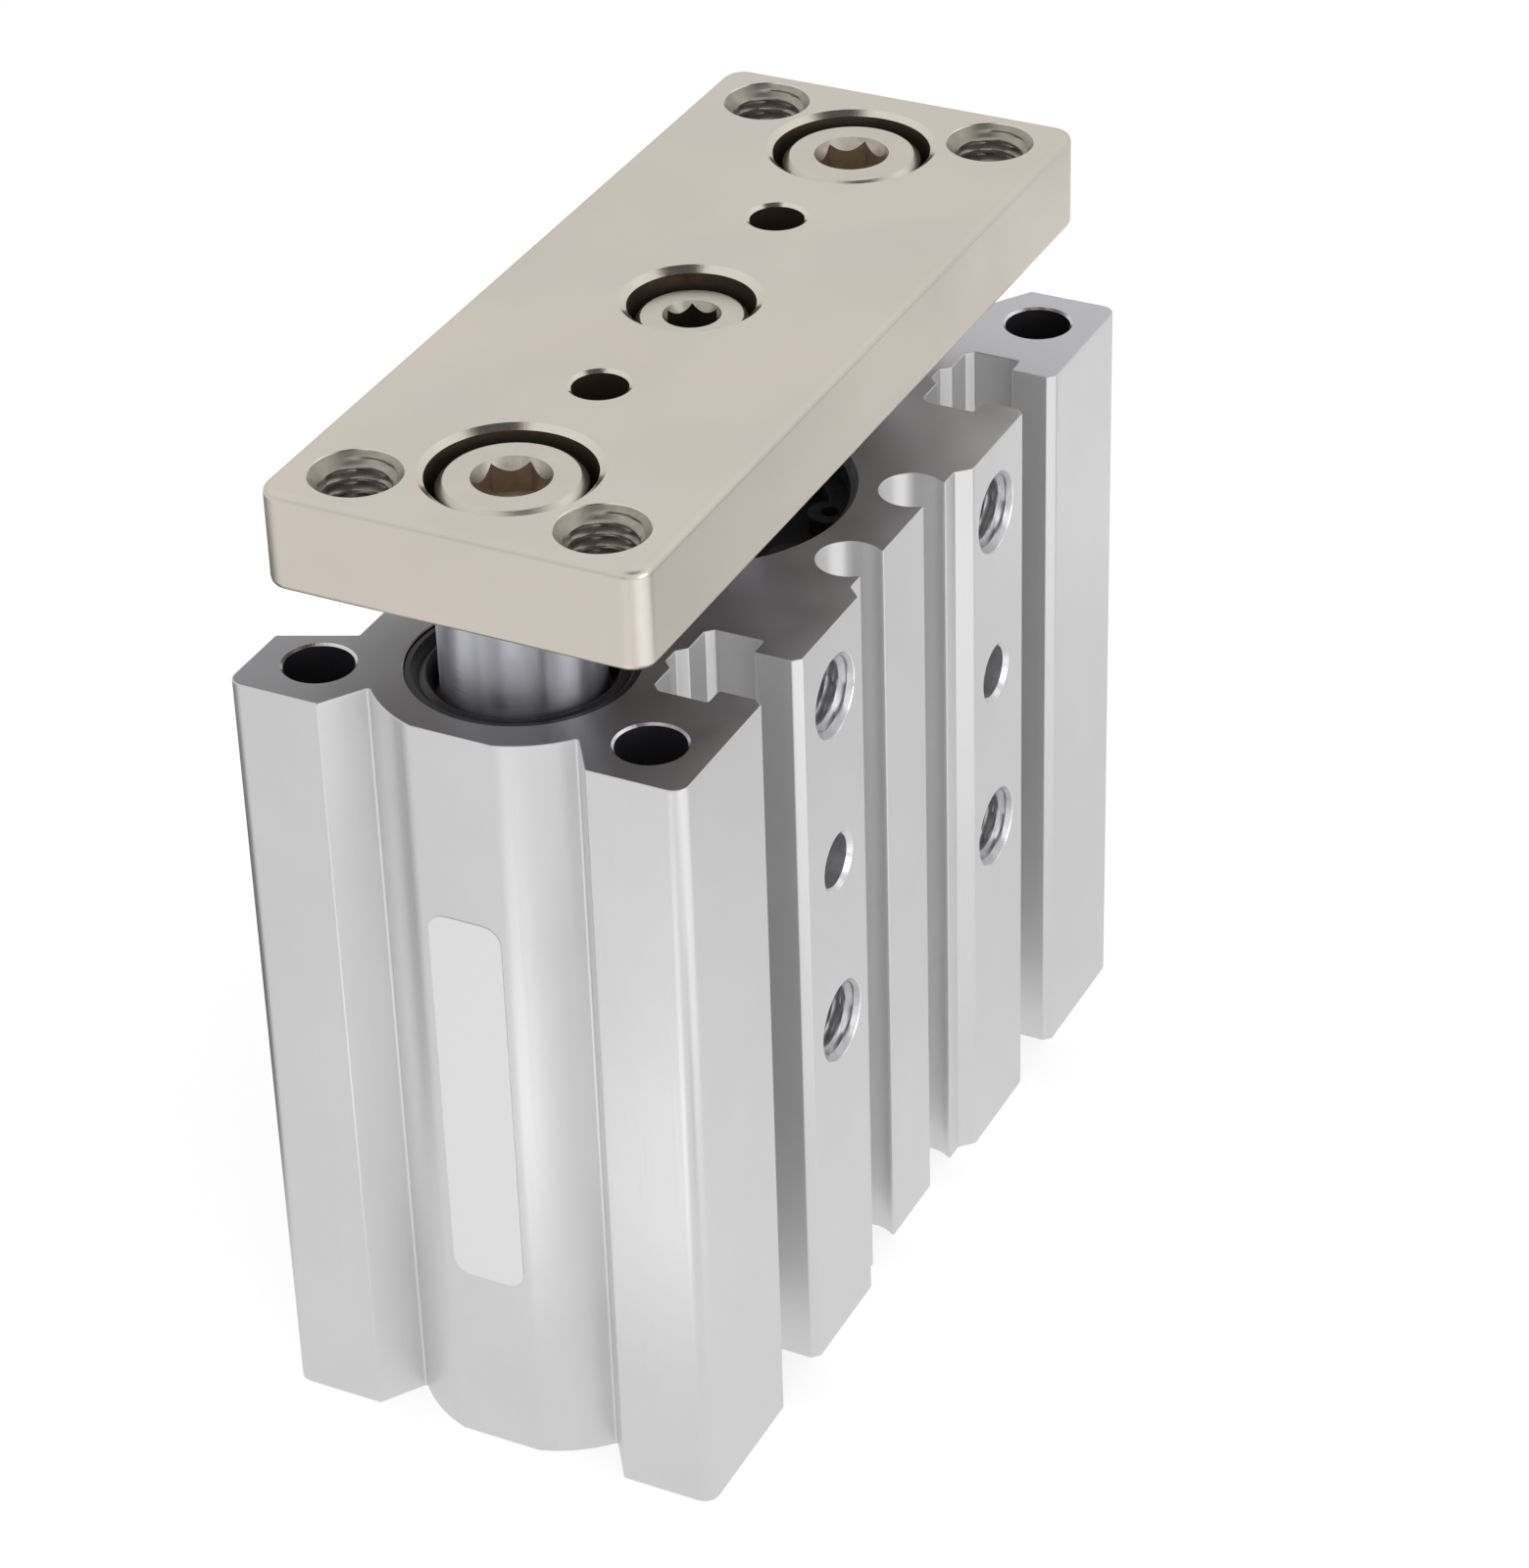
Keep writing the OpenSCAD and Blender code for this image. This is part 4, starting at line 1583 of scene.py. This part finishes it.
@dataclass(frozen=True)
class ToolingPlate:
    """The nickel-plated plate with its bolt seats, tapped holes and dowel holes.

    A seat is its radius, the width of its mouth's chamfer and the radius of the hole under it.
    """

    corner: float = 1.5
    edge: float = 0.5
    seat_floor: float = 2.4
    mouth_slope: float = 0.75
    guide_seat: tuple[float, float, float] = (5.1, 0.42, 2.65)
    rod_seat: tuple[float, float, float] = (4.0, 0.48, 2.15)
    dowel_radius: float = 1.75
    dowel_mouth: float = 0.25
    thread: Thread = Thread(mouth=2.8)

    def build(self, threads: ThreadTree) -> None:
        """Makes the plate and its threads.

        Args:
            threads: the tree that cuts them.
        """
        low, high = box_mm("tooling_plate")
        size = high - low
        outline = round_corners(rectangle(size.x, size.y), self.corner, steps=8)
        shell = Shell().prism(outline, low.z, high.z, self.edge, (NICKEL, NICKEL), steps=4)
        taps = mouths("plate_top_taps", Facing.TOP, high.z)
        holes = Shell()
        holes.bored(self.thread.through(size.z, PLATE_WALL_SHADE, PLATE_CUT), Facing.TOP, taps, 56)
        dowels = mouths("plate_dowel_holes", Facing.TOP, 0)
        holes.bored(self.dowel_hole(low.z, high.z), Facing.TOP, dowels, 48)
        cutters = (self.seats(low.z, high.z), holes)
        stand_in("tooling_plate", shell, Body.CARRIAGE, NICKEL, cutters)
        piece = threads.sleeves(
            "plate_tap_threads", self.thread, Facing.TOP, taps, size.z, PLATE_THREAD, through=True
        )
        place_on(piece, Body.CARRIAGE, NICKEL)

    def seats(self, low: float, high: float) -> Shell:
        """Cuts the three bolt seats.

        Args:
            low: the height of the plate's underside.
            high: the height of its top.

        Returns:
            Their cutter.
        """
        shell = Shell()
        floor = low + self.seat_floor
        for node, (seat, mouth, hole) in (
            ("guide_rod_bolt_left", self.guide_seat),
            ("guide_rod_bolt_right", self.guide_seat),
            ("piston_rod_bolt", self.rod_seat),
        ):
            start = low - OVER
            profile = stops(PLATE_WALL_SHADE, (0, start), (hole, start), (hole, floor), (seat, floor))
            profile += upper_mouth(seat, mouth * self.mouth_slope, high, PLATE_CUT, mouth)
            shell.turned(profile, Facing.TOP.place((upright(node)[0], 0, 0)), steps=96)
        return shell

    def dowel_hole(self, low: float, high: float) -> list[Stop]:
        """Cuts a dowel hole right through the plate.

        Args:
            low: the height of the plate's underside.
            high: the height of its top.

        Returns:
            The cutter's profile.
        """
        radius, mouth = self.dowel_radius, self.dowel_mouth
        slope = mouth * self.mouth_slope
        lower = lower_mouth(radius, slope, low, PLATE_WALL_SHADE, PLATE_CUT, mouth)
        return lower + upper_mouth(radius, slope, high, PLATE_CUT, mouth)


@dataclass(frozen=True)
class SocketBolt:
    """A low-head bolt with a hexagon socket, whose mouth opens up in a steep cone."""

    node: str
    thread: float
    head_height: float
    rim: float
    socket: float
    turn: float = 0.0
    cone: float = 0.11
    steep: float = math.radians(28)
    end: float = 0.5
    neck: float = 0.15
    soft: float = 0.2
    depth: float = 0.6
    steps: int = 72
    inside: Finish = SOCKET

    def build(self) -> None:
        """Makes the bolt in its node's place."""
        x, head, low, high = upright(self.node)
        neck = high - self.head_height
        profile = [
            *stops(BOLT, (0, low), (self.thread - self.end, low), (self.thread, low + self.end)),
            *stops(BOLT, (self.thread, neck), (head, neck, self.neck)),
            *stops(BOLT, (head, high - self.rim, self.soft), (head - self.rim, high, self.soft)),
            Stop(self.mouth, high, SOCKET_MOUTH),
        ]
        angles = angles_round(self.steps, math.radians(self.turn))
        sections = [
            (circle(stop.radius, stop.height, angles), stop.finish)
            for stop in softened(profile, False)
        ]
        sections += [(points, self.inside) for points in self.hexagon(high, angles)]
        shell = Shell()
        shell.loft(sections, Facing.TOP.place((x, 0, 0)))
        stand_in(self.node, shell, Body.CARRIAGE, BOLT, angle=math.radians(20))

    @property
    def mouth(self) -> float:
        """The radius of the socket's mouth."""
        return self.socket / 2 / math.cos(math.radians(30)) + self.cone

    def hexagon(self, top: float, angles: Sequence[float]) -> list[list[Vector]]:
        """Shapes the socket.

        Args:
            top: the height of the head's top.
            angles: the angles of the points round it, with one at each of its corners.

        Returns:
            Its rings: where its walls leave the cone, its floor and the drill's tip.
        """
        floor = top - self.head_height * self.depth
        walls, deep = [], []
        for i, angle in enumerate(angles):
            off_corner = math.radians(abs((360 // self.steps * i + 30) % 60 - 30))
            radius = self.socket / 2 / math.cos(math.radians(30) - off_corner)
            drop = (self.mouth - radius) / math.tan(self.steep)
            walls += circle(radius, top - drop, [angle])
            deep += circle(radius, floor, [angle])
        return [walls, deep, circle(0, floor - self.socket / 5, [])]


@dataclass(frozen=True)
class Carriage:
    """The rods and their bolts, which move with the plate."""

    chamfer: float = 0.5
    soft: tuple[float, float] = (0.1, 0.2)
    bolt_room: float = 11.0
    spigot: float = 3.0
    bolts: tuple[SocketBolt, ...] = (
        SocketBolt("guide_rod_bolt_left", 2.5, 3.6, 0.5, 4.0),
        SocketBolt("guide_rod_bolt_right", 2.5, 3.6, 0.5, 4.0, turn=3.0),
        SocketBolt("piston_rod_bolt", 2.0, 3.0, 0.3, 3.0, turn=26.0, cone=0.09, inside=DEEP_SOCKET_SHADE),
    )

    def build(self) -> None:
        """Makes both guide rods, the piston rod and their bolts."""
        guide, piston = self.bolts[0].thread, self.bolts[-1].thread
        for side in Side:
            self.rod(f"guide_rod_{side.value}", guide)
        self.rod("piston_rod", piston, box_mm("piston")[1].z)
        for bolt in self.bolts:
            bolt.build()

    def rod(self, node: str, bolt_radius: float, start: float = 0.0) -> None:
        """Makes one ground rod with chamfered ends and the room for its bolt.

        Args:
            node: the CAD node.
            bolt_radius: the radius of the bolt's hole.
            start: the height at which its full diameter starts, if above its lower end.
        """
        x, radius, low, high = upright(node)
        foot, small = max(low, start), radius - self.chamfer
        fine, wide = self.soft
        floor = high - self.bolt_room
        profile = stops(CHROME, (0, low))
        if start > low:
            profile += stops(CHROME, (self.spigot, low), (self.spigot, foot))
        profile += stops(CHROME, (small, foot, fine), (radius, foot + self.chamfer, wide))
        profile += stops(CHROME, (radius, high - self.chamfer, wide), (small, high, fine))
        profile += stops(DRILLED_SHADE, (bolt_radius, high), (bolt_radius, floor), (0, floor))
        shell = Shell().turned(profile, Facing.TOP.place((x, 0, 0)), steps=96)
        stand_in(node, shell, Body.CARRIAGE, CHROME)


@dataclass(frozen=True)
class GuideBearings:
    """Bushes, felt rings and their moulded holders, round both guide rods."""

    play: float = 0.03
    edge: float = 0.2
    holder_play: float = 0.35
    ridge: float = 0.45
    soft: float = 0.12

    def build(self) -> None:
        """Makes the bearings of both rods."""
        for side in Side:
            rod = upright(f"guide_rod_{side.value}")[1]
            for part, finish in (
                ("upper_guide_bush", BRONZE), ("lower_guide_bush", BRONZE), ("felt_ring", FELT)
            ):
                node = f"{part}_{side.value}"
                self.ring(node, self.plain(node, rod + self.play, finish), finish, 72)
            node = f"felt_holder_{side.value}"
            self.ring(node, self.ridged(node, rod + self.holder_play), RESIN, 96)

    def plain(self, node: str, inner: float, finish: Finish) -> list[Stop]:
        """The profile of a bush or a felt ring, with round edges."""
        _, outer, low, high = upright(node)
        places = (inner, low), (outer, low), (outer, high), (inner, high)
        return stops(finish, *((*place, self.edge) for place in places))

    def ridged(self, node: str, inner: float) -> list[Stop]:
        """The profile of the resin ring, with the ridge that keeps the felt down.

        Args:
            node: its CAD node.
            inner: its inner radius.

        Returns:
            The profile.
        """
        _, outer, low, high = upright(node)
        ridge, soft = self.ridge, self.soft
        return [
            *stops(RESIN, (inner, low), (outer, low), (outer, high, soft)),
            *stops(RESIN, (outer - ridge, high, soft), (outer - 2 * ridge, high - ridge, soft)),
            *stops(RESIN, (inner + 2 * ridge, high - ridge, soft)),
            *stops(RESIN, (inner + ridge, high - ridge / 2, soft), (inner, high - 2 * ridge)),
        ]

    def ring(self, node: str, profile: Sequence[Stop], finish: Finish, steps: int) -> None:
        """Makes a ring round a guide rod.

        Args:
            node: its CAD node.
            profile: its profile.
            finish: its finish.
            steps: the number of flats round it.
        """
        place = Facing.TOP.place((upright(node)[0], 0, 0))
        shell = Shell().turned(profile, place, steps, ring=True)
        stand_in(node, shell, Body.CYLINDER, finish)


@dataclass(frozen=True)
class RetainingRing:
    """An open spring ring with round edges and two eyes."""

    node: str
    corner: float = 0.3
    edge: float = 0.06
    eye_radius: float = 0.6

    def build(self) -> None:
        """Makes the ring in its node's place."""
        low, high = (corner.z for corner in box_mm(self.node))
        outline, *eyes = outlines_of(self.node, high)
        shell = Shell().prism(
            round_corners(outline, self.corner), low, high, self.edge, (SPRING_FILM_AND_SHADE, SPRING_FILM_AND_SHADE)
        )
        radius = self.eye_radius
        ends = low - OVER, high + OVER
        hole = stops(SPRING_FILM_AND_SHADE, (0, ends[0]), (radius, ends[0]), (radius, ends[1]), (0, ends[1]))
        centres = [sum(eye, Vector((0, 0))) / len(eye) for eye in eyes]
        cutter = Shell()
        cutter.bored(hole, Facing.TOP, [Vector((*centre, 0)) for centre in centres], 24)
        stand_in(self.node, shell, Body.CYLINDER, SPRING_FILM_AND_SHADE, (cutter,))


@dataclass(frozen=True)
class BlankLabel:
    """The blank film on the flat of the left guide column."""

    corner: float = 1.2
    edge: float = 0.04

    def build(self) -> None:
        """Makes the film with round corners and a soft rim."""
        low, high = box_mm("blank_label")
        size, middle = high - low, (low + high) / 2
        outline = round_corners(rectangle(size.z, size.y), self.corner, steps=8)
        upright_turn = Matrix.Rotation(-math.pi / 2, 4, "Y")
        place = Matrix.Translation((high.x, middle.y, middle.z)) @ upright_turn
        shell = Shell().prism(outline, 0, size.x, self.edge, (FILM, FILM), place)
        stand_in("blank_label", shell, Body.CYLINDER, FILM)


@dataclass(frozen=True)
class SoftBox:
    """A square area lamp: its place and size in millimetres, its power and what it looks at.

    A lamp that isn't mirrored lights matt surfaces and stays out of the reflections.
    """

    name: str
    place: Colour
    size: float
    watts: float
    target: Colour = (0.0, 0.0, 35.0)
    mirrored: bool = True

    def build(self) -> None:
        """Hangs the lamp."""
        lamp = bpy.data.lights.new(self.name, "AREA")
        lamp.energy = self.watts
        lamp.size = self.size * MM
        thing = new_object(self.name, lamp)
        thing.visible_glossy = self.mirrored
        thing.location = Vector(self.place) * MM
        aim = Vector(self.target) * MM - thing.location
        thing.rotation_euler = aim.to_track_quat("-Z", "Y").to_euler()


@dataclass(frozen=True)
class Patch:
    """A round card with a soft edge that only the object's reflections and shading see.

    Its centre and radii are lengths on the unit sphere for the studio's walls, and metres for the
    floor.
    """

    centre: Colour
    inner: float
    outer: float
    level: float

    def share(self, graph: Shading, place: Socket) -> Socket:
        """How much of the card there is at a place, from 0 to 1.

        Args:
            graph: the nodes that it is added to.
            place: the place.

        Returns:
            The share.
        """
        away = graph.vector("DISTANCE", place, self.centre).outputs["Value"]
        inputs = {"Value": away, "From Min": self.outer, "From Max": self.inner}
        return graph.node("ShaderNodeMapRange", inputs, interpolation_type="SMOOTHSTEP").outputs[0]


@dataclass(frozen=True)
class Studio:
    """Camera, lamps, world and floor."""

    camera_place: Colour = (-231.6, -121.8, 201.2)
    camera_turn: Colour = (56.86, 1.53, -64.03)
    lens: float = 110.36
    clip: tuple[float, float] = (10 * MM, 10.0)
    overhead: float = 0.98
    horizon: float = 0.80
    overhead_from: float = 0.7
    floor_half: float = 3000.0
    floor_drop: float = 0.02
    floor_grain: float = 1.5 * MM
    floor_tones: tuple[float, float] = (0.88, 0.92)
    floor_glow: tuple[float, float] = (0.55, 1.3)
    lamps: tuple[SoftBox, ...] = (
        SoftBox("key", (-250.0, -150.0, 480.0), 400.0, 0.6, mirrored=False),
        SoftBox("front", (-90.0, -420.0, 40.0), 360.0, 0.6),
    )
    walls: tuple[Patch, ...] = (
        Patch((0.52, -0.66, 0.54), 0.10, 0.35, 1.3),
        Patch((-0.15, -0.27, 0.95), 0.24, 0.48, 0.0),
        Patch((-0.99, 0.07, 0.10), 0.12, 0.28, 0.0),
        Patch((-0.47, -0.88, 0.10), 0.12, 0.26, 0.0),
    )
    floor_cards: tuple[Patch, ...] = (
        Patch((0.0, 0.0, 0.0), 0.50, 1.00, 0.78),
        Patch((0.09, -0.20, 0.0), 0.110, 0.145, 0.15),
        Patch((-0.01, 0.09, 0.0), 0.045, 0.070, 0.0),
        Patch((0.035, -0.045, 0.0), 0.015, 0.040, 0.72),
        Patch((0.12, -0.05, 0.0), 0.030, 0.050, 0.97),
        Patch((-0.03, -0.11, 0.0), 0.040, 0.075, 1.10),
        Patch((-0.08, -0.10, 0.0), 0.020, 0.045, 1.50),
        Patch((-0.070, -0.006, 0.0), 0.008, 0.022, 1.50),
        Patch((-0.097, -0.016, 0.0), 0.008, 0.024, 1.25),
        Patch((-0.057, -0.058, 0.0), 0.006, 0.018, 0.2),
        Patch((-0.12, -0.18, 0.0), 0.025, 0.050, 0.0),
    )

    def build(self) -> None:
        """Makes everything that the object is shown with."""
        self.add_camera()
        self.add_world()
        self.add_floor()
        for lamp in self.lamps:
            lamp.build()
        bpy.context.scene.view_settings.view_transform = "Standard"

    def add_camera(self) -> None:
        """A long lens, high on the left in front of the mounting face."""
        camera = new_object("camera", bpy.data.cameras.new("camera"))
        camera.data.lens = self.lens
        camera.data.clip_start, camera.data.clip_end = self.clip
        camera.location = Vector(self.camera_place) * MM
        camera.rotation_euler = Euler([math.radians(a) for a in self.camera_turn])
        bpy.context.scene.camera = camera

    def add_world(self) -> None:
        """An even studio, brighter overhead than at the horizon, and white to the camera."""
        world = bpy.data.worlds.new("studio")
        bpy.context.scene.world = world
        world.use_nodes = True
        graph = Shading(world.node_tree)
        way = graph.node("ShaderNodeTexCoord").outputs["Generated"]
        level = graph.node(
            "ShaderNodeMapRange",
            {
                "Value": graph.node("ShaderNodeSeparateXYZ", {0: way}).outputs[Axis.Z.value],
                "From Max": self.overhead_from,
                "To Min": self.horizon,
                "To Max": self.overhead,
            },
        ).outputs[0]
        for patch in self.walls:
            change = graph.math("SUBTRACT", patch.level, level)
            level = graph.math("MULTIPLY_ADD", patch.share(graph, way), change, level)
        seen = graph.node("ShaderNodeLightPath").outputs["Is Camera Ray"]
        strength = graph.math("MAXIMUM", level, seen)
        light = graph.node("ShaderNodeBackground", {"Strength": strength})
        graph.node("ShaderNodeOutputWorld", {"Surface": light.outputs[0]})

    def add_floor(self) -> None:
        """A wide pale floor just under the body's lower end, which still takes its shadow."""
        material, graph = new_material("floor_paper")
        place = graph.node("ShaderNodeTexCoord").outputs["Object"]
        dark, light = ((tone,) * 3 for tone in self.floor_tones)
        colour = graph.blend(graph.noise(place, self.floor_grain, 2), dark, light)
        surface = graph.node("ShaderNodeBsdfDiffuse", {"Color": colour}).outputs[0]
        seen = graph.node("ShaderNodeLightPath").outputs["Is Camera Ray"]
        unseen = graph.math("SUBTRACT", 1, seen)
        share, level = self.floor_glow
        layers = [(graph.math("MULTIPLY", seen, share), level)]
        for card in self.floor_cards:
            layers.append((graph.math("MULTIPLY", card.share(graph, place), unseen), card.level))
        for share, level in layers:
            light = graph.node("ShaderNodeEmission", {"Strength": level}).outputs[0]
            surface = graph.node("ShaderNodeMixShader", {0: share, 1: surface, 2: light}).outputs[0]
        graph.node("ShaderNodeOutputMaterial", {"Surface": surface})
        half, level = self.floor_half * MM, -self.floor_drop * MM
        mesh = bpy.data.meshes.new("floor")
        corners = rectangle(2 * half, 2 * half)
        mesh.from_pydata([(x, y, level) for x, y in corners], [], [(0, 1, 2, 3)])
        mesh.materials.append(material)
        new_object("floor", mesh)


def main() -> None:
    """Builds the looks in order, from the body outwards."""
    logging.basicConfig(level=logging.INFO, format="%(message)s")
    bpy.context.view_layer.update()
    for part in frame["record"]["subparts"]:
        node, slot = part["node"], part["material_slot"]
        # the collar gets near-black painted shade in place of its alloy finish
        finish = COLLAR_SHADE if node == "rod_end_collar" else SLOT_FINISHES[slot]
        materials = frame["nodes"][node].data.materials
        materials.clear()
        materials.append(finish.material())
    threads = ThreadTree()
    CylinderBody().build(threads)
    GuideBearings().build()
    for node in ("rod_end_retaining_ring", "head_end_retaining_ring"):
        RetainingRing(node).build()
    BlankLabel().build()
    ToolingPlate().build(threads)
    Carriage().build()
    Studio().build()


if __name__ == "__main__":
    main()
